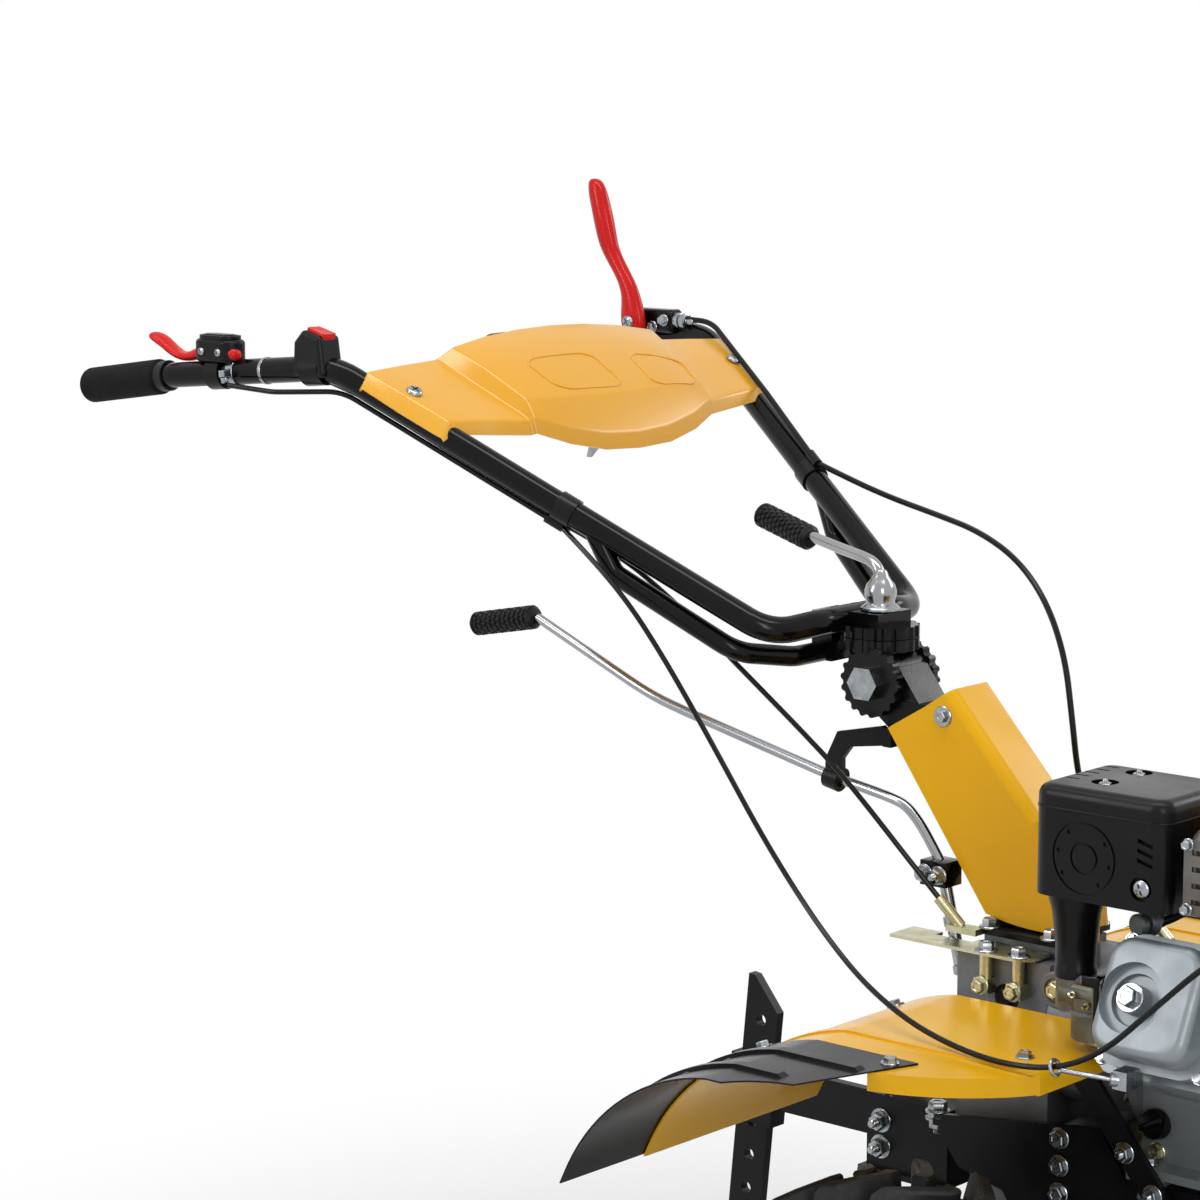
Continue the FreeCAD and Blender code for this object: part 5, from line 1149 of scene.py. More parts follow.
@dataclass
class Wheel:
    """One wheel: its tyre with chevron lugs, hub bolts, valve and hub clamp screws."""

    frame: Frame
    hand: str
    side: int
    offset_mm: float = 300.0
    radius_mm: float = 230.0
    bolt_circle_mm: float = 52.0
    lugs: int = 22

    @property
    def body(self) -> Body:
        """The body that this wheel's pieces ride on."""
        return Body.WHEEL_LEFT if self.side > 0 else Body.WHEEL_RIGHT

    def place(self) -> Matrix:
        """The place of a piece that is modelled round Z, with its +X turned to the wheel's top.

        Returns:
            The matrix that takes it there.
        """
        turn = Matrix(((0, 1, 0, 0), (0, 0, 1, 0), (1, 0, 0, 0), (0, 0, 0, 1)))
        centre = self.frame.at(0, self.side * self.offset_mm, self.radius_mm)
        return Matrix.Translation(centre) @ turn

    def spot(self, reach_mm: float, angle_deg: float, out_mm: float) -> Vector:
        """A point on the wheel.

        Args:
            reach_mm: its distance from the axle.
            angle_deg: its angle, from the top towards the engine.
            out_mm: how far outboard of the wheel's middle it is.

        Returns:
            The point, in metres.
        """
        angle = math.radians(angle_deg)
        return self.frame.at(reach_mm * math.sin(angle), self.side * (self.offset_mm + out_mm),
                             self.radius_mm + reach_mm * math.cos(angle))

    def carcass(self) -> bpy.types.Object:
        """Shapes the carcass: beads, ribbed walls, shoulders and a rounded tread.

        Returns:
            The carcass.
        """
        wall = [(127.5, 40.5), (139.5, 40.7), (143, 44), (147, 46.5), (151, 46.3), (154, 47.6), (160, 49),
                (170, 50.2), (178, 50.4), (180, 51.2), (183, 51.2), (185, 50), (193, 47.6), (200, 43),
                (204.5, 35), (206.5, 20)]
        outside = [(r, -z) for r, z in wall] + [(207, 0)] + list(reversed(wall))
        lining = [(127.5, 33), (140, 33), (160, 41), (184, 40), (196, 30), (198.5, 0)]
        inside = lining + [(r, -z) for r, z in reversed(lining[:-1])]
        return Bench.turned("carcass", outside + inside, 96, ring=True)

    def lug(self, half: int) -> bpy.types.Object:
        """Shapes one tread lug that sweeps back from the middle and runs down over the shoulder.

        Args:
            half: 1 or -1 for the half of the tread that it stands on.

        Returns:
            The lug.
        """
        lug = Bench.block("lug", (0.201, -0.009, min(-0.004 * half, 0.010 * half)),
                          (0.2290, 0.009, max(-0.004 * half, 0.010 * half)))
        end = 0.010 * half
        Bench.edit(lug, Pick.FACES, lambda f: abs(f.center.z - end) < 1e-6)
        for step in ((-0.0008, -0.016, 0.018), (-0.0022, -0.017, 0.017), (-0.007, -0.004, 0.005),
                     (-0.020, -0.003, 0.0030)):
            bpy.ops.mesh.extrude_region_move(
                TRANSFORM_OT_translate={"value": (step[0], step[1], step[2] * half)})
        Bench.clear()
        Bench.edit(lug, Pick.VERTICES, lambda v: v.co.x > 0.2215)
        bpy.ops.transform.translate(value=(0, 0.0015, 0))
        Bench.clear()
        bpy.ops.object.select_all(action="DESELECT")
        Bench.modify(lug, "BEVEL", width=0.0022, segments=1, limit_method="ANGLE")
        return Bench.recalculated(lug)

    def tyre(self) -> None:
        """Builds the tyre in place of its plain solid."""
        parts = [self.carcass()]
        pitch = 360 / self.lugs
        for half in (1, -1):
            shift = 0 if half > 0 else pitch / 2
            turns = [Matrix.Rotation(math.radians(shift + pitch * k), 4, "Z") for k in range(self.lugs)]
            parts.append(Bench.copies("lugs", self.lug(half), turns))
        tyre = Bench.join("tyre_tread_" + self.hand, parts)
        tyre.data.transform(self.place())
        Bench.done(tyre, 32)
        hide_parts("tyre_" + self.hand)
        Bench.dress(tyre, Finishes.TYRE_RUBBER, "tyre_rubber", self.body)

    def bolts(self) -> None:
        """Bolts the rim to the hub flange and clamps the hub on its sleeve."""
        out = (0, self.side, 0)
        inward = (0, -self.side, 0)
        heads = [Bench.facing(self.spot(self.bolt_circle_mm, 90 * k, -22), out, 12 * k) for k in range(4)]
        Fasteners.fit("wheel_bolts_" + self.hand, Fasteners.hex_bolt(17, 7.5, 12), heads,
                      body=self.body)
        nuts = [Bench.facing(self.spot(self.bolt_circle_mm, 90 * k, -32), inward, 9 * k) for k in range(4)]
        Fasteners.fit("wheel_nuts_" + self.hand, Fasteners.nut(17, 8, 12, 5), nuts,
                      body=self.body)
        screws = []
        for angle in (0, 90):
            toward = math.radians(angle)
            screws.append(Bench.facing(self.spot(31, angle, 42), (math.sin(toward), 0, math.cos(toward))))
        Fasteners.fit("hub_set_screws_" + self.hand, Fasteners.nut(13, 6, 0, 7), screws,
                      body=self.body)

    def valve(self) -> None:
        """Adds the rubber valve stem with its cap, standing out of the rim's well."""
        stem = Bench.turned("valve_" + self.hand, [
            (7, -3), (6.4, 2), (4.6, 6), (4.2, 18), (3.6, 20), (4.4, 20.5), (4.4, 30), (3.6, 31.5)], 16)
        angle = math.radians(45)
        aim = (-0.5 * math.sin(angle), 0.86 * self.side, -0.5 * math.cos(angle))
        stem.data.transform(Bench.facing(self.spot(107, 45, 14), aim))
        Bench.dress(stem, Finishes.GRIP_RUBBER, "grip_rubber", self.body)

    def build(self) -> None:
        """Builds the wheel's pieces."""
        self.tyre()
        self.bolts()
        self.valve()


# ------------------------------------------------------------------ fenders and chassis


@dataclass
class Fenders:
    """Fasteners of the fender sheets, their struts and bars."""

    frame: Frame
    top_mm: float = 556.0
    bend_centre: tuple[float, float] = (-81.2, 348.2)
    bend_radius_mm: float = 210.0

    def on_bend(self, x: float, y: float, raised: float) -> Matrix:
        """The place of a bolt on the sheet's bent rear, square to the sheet.

        Args:
            x: where it is along the machine, in millimetres like the rest.
            y: where it is across the machine.
            raised: how far it stands off the sheet.

        Returns:
            The bolt's place.
        """
        away = x - self.bend_centre[0]
        up = math.sqrt(self.bend_radius_mm ** 2 - away ** 2)
        share = (self.bend_radius_mm + raised) / self.bend_radius_mm
        point = self.frame.at(self.bend_centre[0] + away * share, y, self.bend_centre[1] + up * share)
        return Bench.facing(point, (away, 0, up))

    def build(self) -> None:
        """Bolts the extensions, the inner sheets and the struts."""
        at, up = self.frame.at, (0, 0, 1)
        places = []
        for side in (1, -1):
            places += [Bench.facing(at(-21, side * 317, self.top_mm + 1.9), up, 20),
                       Bench.facing(at(51, side * 220, self.top_mm), up, 5),
                       Bench.facing(at(51, side * 130, self.top_mm), up, 40),
                       self.on_bend(-163, side * 312, 1.9), self.on_bend(-246, side * 322, 1.9),
                       self.on_bend(-163, side * 118, 0.0)]
        Fasteners.fit("fender_bolts", Fasteners.hex_bolt(10, 4.5, 8.5), places)
        struts = [Bench.facing(at(x, side * 104, z), (0, side, 0), 15)
                  for side in (1, -1) for x, z in ((80, 449), (6, 540), (110, 416))]
        Fasteners.fit("strut_bolts", Fasteners.nut(13, 6, 10, 5), struts)


@dataclass
class Chassis:
    """Bolts of the side plates, rails, engine feet and hitch, and the hitch pin."""

    frame: Frame
    plate_face_mm: float = 90.0
    rail_face_mm: float = 94.0
    flank_first_mm: float = 443.0
    flank_pitch_mm: float = 26.0

    def plate_bolts(self) -> None:
        """Bolts both side plates to the gearbox and the rails to the plates."""
        at = self.frame.at
        flank, rail = [], []
        for side in (1, -1):
            out = (0, side, 0)
            for k in range(5):
                z = self.flank_first_mm - self.flank_pitch_mm * k
                flank.append(Bench.facing(at(2, side * self.plate_face_mm, z), out, 17 * k))
            for x, z in ((99, 412), (99, 393), (322, 403)):
                rail.append(Bench.facing(at(x, side * self.rail_face_mm, z), out, x % 50))
        Fasteners.fit("flank_bolts", Fasteners.hex_bolt(14, 6.5, 10), flank)
        Fasteners.fit("rail_bolts", Fasteners.hex_bolt(14, 6.5, 10), rail)

    def engine_bolts(self) -> None:
        """Bolts the engine's feet to the rails, with nuts under them."""
        at = self.frame.at
        feet = [(x, side) for x in (92, 225) for side in (1, -1)]
        Fasteners.fit("engine_foot_bolts", Fasteners.hex_bolt(13, 6, 10),
                      [Bench.facing(at(x, side * 84, 436), (0, 0, 1), x % 40) for x, side in feet])
        Fasteners.fit("engine_foot_nuts", Fasteners.nut(13, 7, 10, 6),
                      [Bench.facing(at(x, side * 72, 418), (0, 0, -1), 10) for x, side in feet])

    def hitch_bolts(self) -> None:
        """Bolts the hitch's ears down and its cheeks across, and drops the hitch pin in."""
        at = self.frame.at
        ears = [Bench.facing(at(-154, side * 62, 430), (0, 0, 1), 10) for side in (1, -1)]
        Fasteners.fit("hitch_ear_bolts", Fasteners.hex_bolt(16, 8, 12), ears)
        under = [Bench.facing(at(-154, side * 62, 424), (0, 0, -1), 25) for side in (1, -1)]
        Fasteners.fit("hitch_ear_nuts", Fasteners.nut(16, 8, 12, 6), under)
        cheeks = [Bench.facing(at(x, side * 38, z), (0, side, 0), 12)
                  for side in (1, -1) for x, z in ((-238, 398), (-238, 372))]
        Fasteners.fit("hitch_cheek_bolts", Fasteners.nut(16, 8, 12, 8), cheeks)
        pin = Bench.turned("hitch_pin", [
            (7, -8), (7.6, 0), (7.6, 7), (12, 7.5), (13, 9.5), (13, 13), (11, 15.5), (6, 16.5), (5.5, 28),
            (8, 30), (9, 34), (7, 38), (3, 39.5)], 24)
        pin.data.transform(Matrix.Translation(at(-221, 0, 430)))
        Bench.dress(pin)

    def build(self) -> None:
        """Builds the chassis fasteners."""
        self.plate_bolts()
        self.engine_bolts()
        self.hitch_bolts()


# ------------------------------------------------------------------ gearbox and gear shift


@dataclass
class Gearbox:
    """Plugs, seals, flange bolts and cast ribs of the gearbox and the clutch bell."""

    frame: Frame
    half_width_mm: float = 58.0
    axle_height_mm: float = 230.0
    crank_height_mm: float = 528.0
    bell_circle_mm: float = 81.5

    def plugs(self) -> None:
        """Adds the level plug, the drain plug and the shift shaft's ring with its bolt."""
        at = self.frame.at
        Fasteners.fit("level_plugs", Fasteners.hex_bolt(17, 6, 13), [
            Bench.facing(at(-81, -self.half_width_mm, 552), (0, -1, 0), 11),
            Bench.facing(at(-81, self.half_width_mm, 552), (0, 1, 0), 31),
            Bench.facing(at(0, 0, 146), (0, 0, -1))], Finishes.PAINTED_IRON, "cast_steel")
        boss = Bench.turned("shift_boss_ring", [
            (17, -2), (17, 3), (15.5, 4.5), (11.5, 4.5), (11, 2.5)], 32)
        boss.data.transform(Bench.facing(at(-16, -72, 574), (0, -1, 0)))
        Bench.dress(boss, Finishes.SAND_CAST, "cast_aluminium")
        Fasteners.fit("shift_boss_bolt", Fasteners.hex_bolt(13, 6, 9),
                      [Bench.facing(at(-16, -74.5, 574), (0, -1, 0), 8)], Finishes.YELLOW_ZINC, "zinc_steel")

    def seals(self) -> None:
        """Adds the lipped seals where the axle leaves its bosses."""
        at = self.frame.at
        seals = [Bench.facing(at(0, side * 99.8, self.axle_height_mm), (0, side, 0)) for side in (1, -1)]
        Fasteners.fit("axle_seals", Fasteners.ring(31.4, 38, 3.4, 48), seals,
                      Finishes.GRIP_RUBBER, "grip_rubber")

    def ribs(self) -> None:
        """Casts the web ribs that fan out from each axle boss up the side of the gearbox."""
        made = []
        for side in (1, -1):
            for turn in (-24, 0, 24):
                rib = Bench.block("rib", (-0.003, 0, 0.040), (0.003, 0.028, 0.086))
                Bench.edit(rib, Pick.VERTICES, lambda v: v.co.z > 0.08 and v.co.y > 0.02)
                bpy.ops.transform.translate(value=(0, -0.024, 0))
                Bench.clear()
                Bench.modify(rib, "BEVEL", width=0.0015, segments=2)
                base = self.frame.at(0, side * (self.half_width_mm - 1), self.axle_height_mm)
                flip = Matrix.Rotation(math.radians(0 if side > 0 else 180), 4, "Z")
                spin = Matrix.Rotation(math.radians(turn), 4, "Y")
                rib.data.transform(Matrix.Translation(base) @ spin @ flip)
                made.append(rib)
        Bench.dress(Bench.done(Bench.join("boss_ribs", made)), Finishes.SAND_CAST, "cast_aluminium")

    def flange_bolts(self) -> None:
        """Bolts the gearbox's two halves together along their raised rim."""
        at = self.frame.at
        rear = [(-136, 548), (-137, 500), (-137, 452), (-134, 404)]
        spots = rear + [(-78, 208), (78, 208), (40, 160), (-40, 160)]
        for name, side in (("case_flange_bolts", -1), ("case_flange_nuts", 1)):
            places = [Bench.facing(at(x, side * 7, z), (0, side, 0), 7) for x, z in spots]
            Fasteners.fit(name, Fasteners.hex_bolt(10, 6, 7), places)

    def bell_bolts(self) -> None:
        """Bolts the clutch bell's front flange to the engine."""
        places = self.frame.circle(67, self.crank_height_mm, self.bell_circle_mm, range(30, 390, 60), -1)
        Fasteners.fit("bell_bolts", Fasteners.hex_bolt(10, 6, 7), places)

    def build(self) -> None:
        """Builds the gearbox pieces."""
        self.plugs()
        self.seals()
        self.ribs()
        self.flange_bolts()
        self.bell_bolts()


@dataclass
class GearShift:
    """Studded grips, the rod clamp with its bolt, and the gate's bolts."""

    frame: Frame
    stud_rows: int = 11
    studs_round: int = 12
    stud_mm: float = 1.7

    def studded_grip(self, name: str, node: str, start: Sequence[float], stop: Sequence[float],
                     radius_mm: float) -> None:
        """Moulds a rubber grip with rows of studs between two rounded ends.

        Args:
            name: the piece's name.
            node: the plain solid that it stands for.
            start: one end of its axis, in millimetres.
            stop: the other end.
            radius_mm: reach of the studs.
        """
        low, high = self.frame.at(*start), self.frame.at(*stop)
        long = (high - low).length / MM
        core = radius_mm - self.stud_mm
        body = Bench.turned("core", [
            (core * 0.5, 0), (core * 0.85, 0.8), (core, 3), (radius_mm, 4.5), (radius_mm, 6), (core, 7),
            (core, long - 7), (radius_mm, long - 6), (radius_mm, long - 4.5), (core, long - 3),
            (core * 0.85, long - 0.8), (core * 0.5, long)], 36)
        stud = Bench.turned("stud", [(2.9, 0), (2.5, 1.2), (1.9, 2.1)], 6)
        places = []
        for row in range(self.stud_rows):
            along = 10.5 + (long - 21) * row / (self.stud_rows - 1)
            for k in range(self.studs_round):
                angle = 2 * math.pi * (k + 0.5 * (row % 2)) / self.studs_round
                out = Vector((math.cos(angle), math.sin(angle), 0))
                places.append(Bench.facing(out * (core - 0.3) * MM + Vector((0, 0, along * MM)), out))
        grip = Bench.join(name, [body, Bench.copies("studs", stud, places)])
        grip.data.transform(Bench.facing(low, high - low))
        rides = body_of(self.frame.loaded["nodes"][node])
        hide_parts(node)
        Bench.dress(grip, Finishes.GRIP_RUBBER, "grip_rubber", Body(rides[0]))

    def clamp(self) -> None:
        """Makes the block that joins the shift rods, its bolt, and the lower rod with its clevis."""
        at = self.frame.at
        block = Bench.block("rod_clamp", at(-190, -47, 640), at(-160, -21, 664))
        Bench.edit(block, Pick.FACES, lambda f: abs(f.normal.y) > 0.9)
        bpy.ops.mesh.inset(thickness=0.004, depth=0)
        bpy.ops.mesh.extrude_region_shrink_fatten(TRANSFORM_OT_shrink_fatten={"value": 0.0015})
        Bench.clear()
        Bench.modify(block, "BEVEL", width=0.002, segments=3, limit_method="ANGLE")
        Bench.done(block)
        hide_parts("gear_clamp")
        Bench.dress(block, Finishes.BLACK_ENAMEL, "zinc_steel")
        Fasteners.fit("rod_clamp_bolts", Fasteners.nut(13, 7, 9, 5), [
            Bench.facing(at(-183, -48.5, 652), (0, -1, 0), 20),
            Bench.facing(at(-167, -48.5, 652), (0, -1, 0), 5)])
        top, foot = at(-168, -36, 642), at(-146, -38, 558.5)
        rod = Bench.turned("lower_shift_rod", [
            (5.2, 0), (6, 1), (6, 30), (8.2, 31), (8.2, 40), (6, 41), (6, 76), (7.5, 77.5), (7.5, 85),
            (5, 86.4)], 24)
        rod.data.transform(Bench.facing(top, foot - top))
        Bench.dress(rod)

    def rod(self) -> None:
        """Bends the upper shift rod through its guide."""
        at = self.frame.at
        rod = Bench.hose("shift_rod", [
            at(-700, -20, 836), at(-600, -21.2, 796), at(-556, -21.8, 778.4), at(-522, -22.6, 768.4),
            at(-460, -24.7, 755.7), at(-340, -28.8, 731.3), at(-304, -30, 724), at(-268, -30, 718.5),
            at(-238, -30, 713.8), at(-220, -30, 709), at(-206, -30, 697), at(-192, -30.8, 681),
            at(-170, -33, 652)], 5)
        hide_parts("gear_lever")
        Bench.dress(rod, Finishes.CHROME, "chrome")

    def gate_bolts(self) -> None:
        """Bolts the gate plate to its pillars."""
        at = self.frame.at
        Fasteners.fit("gate_bolts", Fasteners.hex_bolt(13, 7, 11), [
            Bench.facing(at(-100, -65, 595), (0, 0, 1), 14), Bench.facing(at(-64, -65, 595), (0, 0, 1), 33)])
        Fasteners.fit("gate_lug_bolts", Fasteners.hex_bolt(12, 6, 9), [
            Bench.facing(at(-100, -73, 563), (0, -1, 0), 9), Bench.facing(at(-64, -73, 563), (0, -1, 0), 21)],
            Finishes.YELLOW_ZINC, "zinc_steel")

    def build(self) -> None:
        """Builds the gear shift's pieces."""
        self.studded_grip("gear_grip_rubber", "gear_lever_grip", (-790, -20, 820), (-702, -20, 837), 12.5)
        self.studded_grip("lock_grip_rubber", "lock_grip", (-453, 38.5, 960), (-376, 22.5, 943), 12.5)
        self.rod()
        self.clamp()
        self.gate_bolts()


# ------------------------------------------------------------------ engine


@dataclass
class Engine:
    """Everything that is bolted to the engine's castings and covers."""

    frame: Frame
    crank_height_mm: float = 528.0
    incline_deg: float = 25.0
    cylinder_x_mm: float = 168.0
    head_face_mm: float = 238.0
    recoil_circle_mm: float = 83.0
    blower_circle_mm: float = 100.0
    cleaner_low: tuple[float, float, float] = (40.0, -202.0, 697.0)
    cleaner_high: tuple[float, float, float] = (176.0, -84.0, 794.0)

    def tilted(self, x: float, y: float, z: float) -> Vector:
        """A point given as if the cylinder lay level along -Y, turned up by its incline.

        Args:
            x: where it is along the machine, in millimetres like the rest.
            y: where it is across the machine, with the cylinder level.
            z: its height, with the cylinder level.

        Returns:
            The point on the inclined cylinder, in metres.
        """
        angle = math.radians(self.incline_deg)
        up = z - self.crank_height_mm
        return self.frame.at(x, y * math.cos(angle) + up * math.sin(angle),
                             self.crank_height_mm - y * math.sin(angle) + up * math.cos(angle))

    def outward(self) -> Vector:
        """The direction that the cylinder points in."""
        angle = math.radians(self.incline_deg)
        return Vector((0, -math.cos(angle), math.sin(angle)))

    def head(self) -> None:
        """Bolts the rocker cover, and sets the spark plug's boot in the head."""
        x, face = self.cylinder_x_mm, self.head_face_mm
        centre = self.tilted(x - 14, -face, self.crank_height_mm - 2)
        Fasteners.fit("rocker_cover_bolt", Fasteners.hex_bolt(16, 8, 13), [
            Bench.facing(centre, self.outward(), 12)])
        corners = [Bench.facing(self.tilted(x + 48 * a, 36.5 - face, self.crank_height_mm + 52 * b),
                                self.outward(), 20) for a in (1, -1) for b in (1, -1)]
        Fasteners.fit("head_studs", Fasteners.hex_bolt(9, 5, 6.5), corners)
        boot = Bench.turned("spark_plug_boot", [
            (11, -14), (11, 2), (9.5, 4), (9.5, 14), (8.6, 15.5), (8.6, 24), (7.6, 26), (5, 27.5)], 24)
        socket = self.tilted(x + 54, 62 - face, self.crank_height_mm + 26)
        boot.data.transform(Bench.facing(socket, (1, -0.35, 0.35)))
        Bench.dress(boot, Finishes.GRIP_RUBBER, "grip_rubber")

    def crankcase(self) -> None:
        """Casts the side cover with its ribs, and adds its bolts and the oil filler."""
        at = self.frame.at
        cover = Bench.block("crankcase_side_cover", at(94, 80, 452), at(223, 88, 590))
        Bench.round_corners(cover, 1, 26, 6)
        Bench.edit(cover, Pick.FACES, lambda f: f.normal.y > 0.9)
        bpy.ops.mesh.inset(thickness=0.013, depth=0)
        bpy.ops.mesh.extrude_region_move(TRANSFORM_OT_translate={"value": (0, 0.007, 0)})
        bpy.ops.transform.resize(value=(0.94, 1, 0.94), center_override=at(158, 95, 521))
        bpy.ops.mesh.inset(thickness=0.006, depth=0)
        bpy.ops.mesh.extrude_region_move(TRANSFORM_OT_translate={"value": (0, -0.002, 0)})
        Bench.clear()
        Bench.modify(cover, "BEVEL", width=0.0008, segments=2, limit_method="ANGLE")
        Bench.dress(Bench.done(cover), Finishes.SAND_CAST, "cast_aluminium")
        spots = [(102, 470), (102, 521), (102, 572), (158, 583),
                 (215, 572), (215, 521), (215, 470), (158, 459)]
        Fasteners.fit("side_cover_bolts", Fasteners.hex_bolt(10, 6, 7.5), [
            Bench.facing(at(x, 88, z), (0, 1, 0), x + z) for x, z in spots])
        Fasteners.fit("oil_fillers", Fasteners.plug(14, 17), [
            Bench.facing(at(x, -70, 470), (0, -1, 0.2), turn) for x, turn in ((92, 30), (225, 70))],
            Finishes.BLACK_ABS, "black_plastic")
        Fasteners.fit("oil_drain_bolts", Fasteners.hex_bolt(12, 6, 9), [
            Bench.facing(at(x, -70, 444), (0, -1, 0), turn) for x, turn in ((92, 5), (225, 25))],
            Finishes.YELLOW_ZINC, "zinc_steel")
        Fasteners.fit("barrel_bolts", Fasteners.hex_bolt(10, 6, 7.5), [
            Bench.facing(self.tilted(self.cylinder_x_mm + 52 * a, -84, self.crank_height_mm + 48 * b),
                         self.outward(), 10) for a in (1, -1) for b in (1, -1)])

    def intake(self) -> None:
        """Dresses the carburettor: boot, gasket, float bowl nut, idle screw, choke lever and fuel cock."""
        at = self.frame.at
        boot = Bench.turned("intake_boot", [
            (17.3, 0), (18.6, 0), (18.8, 8), (17.8, 10), (18.2, 30), (21.5, 58), (25, 70), (25, 77),
            (24, 78.2)], 32)
        boot.data.transform(Matrix.Translation(at(60, -158, 618)))
        Bench.dress(boot, Finishes.BLACK_ABS, "black_plastic")
        gasket = Bench.block("heat_spacer", at(99.5, -189.5, 578.5), at(103.5, -126.5, 629.5))
        Bench.round_corners(gasket, 0, 7, 4)
        Bench.dress(Bench.done(gasket), Finishes.BLACK_ABS, "black_plastic")
        Fasteners.fit("float_bowl_nut", Fasteners.hex_bolt(12, 6, 9), [
            Bench.facing(at(80, -158, 566), (0, 0, -1), 0)], Finishes.YELLOW_ZINC, "zinc_steel")
        band = Fasteners.ring(19.8, 21.6, 4, 36)
        Fasteners.fit("float_bowl_rim", band, [Matrix.Translation(at(80, -158, 588))],
                      Finishes.SAND_CAST, "cast_aluminium")
        Fasteners.fit("idle_screw", Fasteners.nut(6, 5, 0, 4), [
            Bench.facing(at(72, -176, 606), (0, -1, 0.3), 0),
            Bench.facing(at(86, -175, 600), (0, -1, -0.1), 20)],
            Finishes.YELLOW_ZINC, "zinc_steel")
        choke = Bench.block("choke_lever", at(84, -196, 622), at(94, -182, 626))
        Bench.edit(choke, Pick.FACES, lambda f: f.normal.y < -0.9)
        bpy.ops.mesh.extrude_region_move(TRANSFORM_OT_translate={"value": (0.012, -0.004, 0.004)})
        bpy.ops.transform.resize(value=(1.7, 1, 2.4), center_override=at(101, -200, 628))
        bpy.ops.mesh.extrude_region_move(TRANSFORM_OT_translate={"value": (0.006, -0.007, 0.002)})
        Bench.clear()
        Bench.modify(choke, "BEVEL", width=0.0016, segments=2)
        Bench.dress(Bench.done(choke), Finishes.BLACK_ABS, "black_plastic")
        cock = Bench.turned("fuel_cock", [
            (6, -6), (6, 4), (11, 5), (12, 7), (12, 13), (10.5, 15), (7, 15.5), (7, 18), (10, 19), (10, 24),
            (8, 25.5)], 24)
        cock.data.transform(Bench.facing(at(116, -118, 668), (-0.2, -1, 0)))
        Bench.dress(cock, Finishes.SAND_CAST, "cast_aluminium")
        hose = Bench.hose("fuel_hose", [
            at(140, -62, 692), at(138, -84, 684), at(128, -104, 672), at(116, -118, 666),
            at(106, -126, 648), at(97, -132, 628), at(92, -140, 612)], 4.2)
        Bench.dress(hose, Finishes.GRIP_RUBBER, "grip_rubber")
        links = Bench.hose("governor_rod", [at(214, -96, 648), at(190, -110, 652), at(150, -124, 640),
                                            at(112, -132, 626), at(84, -136, 618)], 1.3)
        Bench.dress(links)

    def cleaner(self) -> None:
        """Adds the air cleaner's lid lip, the nuts in its wells and the screw in its recess."""
        at = self.frame.at
        low, high = self.cleaner_low, self.cleaner_high
        wells = [Bench.facing(at(low[0] + 48, y, high[2] - 7), (0, 0, 1), 15) for y in (-161, -108)]
        Fasteners.fit("cleaner_nuts", Fasteners.nut(10, 5, 9, 3), wells)
        screw = Bench.facing(at(low[0] + 112, low[1] + 3.5, low[2] + 20), (0, -1, 0), 22)
        Fasteners.fit("cleaner_screw", Fasteners.cross_screw(8.5, 5), [screw])
        lip = Bench.block("cleaner_lid_lip", at(low[0] - 0.7, low[1] - 0.7, high[2] - 21),
                          at(high[0] + 0.7, high[1] + 0.7, high[2] - 18.4))
        Bench.round_corners(lip, 2, 17.5, 8)
        Bench.modify(lip, "BEVEL", width=0.0005, segments=2, limit_method="ANGLE")
        Bench.dress(Bench.done(lip), Finishes.BLACK_ABS, "black_plastic")

    def tank(self) -> None:
        """Ribs the tank's cap and bolts the tank's seam."""
        at = self.frame.at
        rib = Bench.block("rib", (0.0285, -0.0017, 0.0012), (0.0316, 0.0017, 0.0118))
        Bench.edit(rib, Pick.FACES, lambda f: f.normal.x > 0.9)
        bpy.ops.transform.resize(value=(1, 0.6, 0.85), center_override=(0.0316, 0, 0.0065))
        Bench.clear()
        turns = [Matrix.Translation(at(203, 60, 778)) @ Matrix.Rotation(math.radians(12 * k), 4, "Z")
                 for k in range(30)]
        Fasteners.fit("fuel_cap_ribs", rib, turns, Finishes.BLACK_ABS, "black_plastic")
        lid = Bench.turned("fuel_cap_crown", [
            (25.5, -0.4), (25.5, 1.6), (24, 2.8), (20, 2.8), (19, 1.6), (8, 1.4), (7, 2.2), (4, 2.4)], 40)
        lid.data.transform(Matrix.Translation(at(203, 60, 792)))
        Bench.dress(lid, Finishes.BLACK_ABS, "black_plastic")
        seam = [(110, -74), (200, -78), (300, -72), (110, 153), (200, 157), (300, 152)]
        Fasteners.fit("tank_bolts", Fasteners.hex_bolt(10, 5, 0), [
            Bench.facing(at(x, y, 733), (0, 0, -1), 5) for x, y in seam])

    def starter(self) -> None:
        """Bolts the recoil starter and the blower housing, and adds the starter's hub."""
        centre = self.crank_height_mm
        flange = self.frame.circle(301, centre, self.recoil_circle_mm, (90, 210, 330), 1)
        Fasteners.fit("recoil_bolts", Fasteners.hex_bolt(10, 6, 7), flange)
        blower = self.frame.circle(299, centre, self.blower_circle_mm, (35, 62, 150, 205, 335), 1)
        Fasteners.fit("blower_bolts", Fasteners.hex_bolt(10, 5, 7), blower)
        hub = Bench.turned("recoil_hub", [(24, -2), (24, 1.5), (21, 3), (12, 3), (10.5, 1.2), (5, 1.2)], 40)
        hub.data.transform(Bench.facing(self.frame.at(341, 0, centre), (1, 0, 0)))
        Bench.dress(hub, Finishes.BLACK_ABS, "black_plastic")

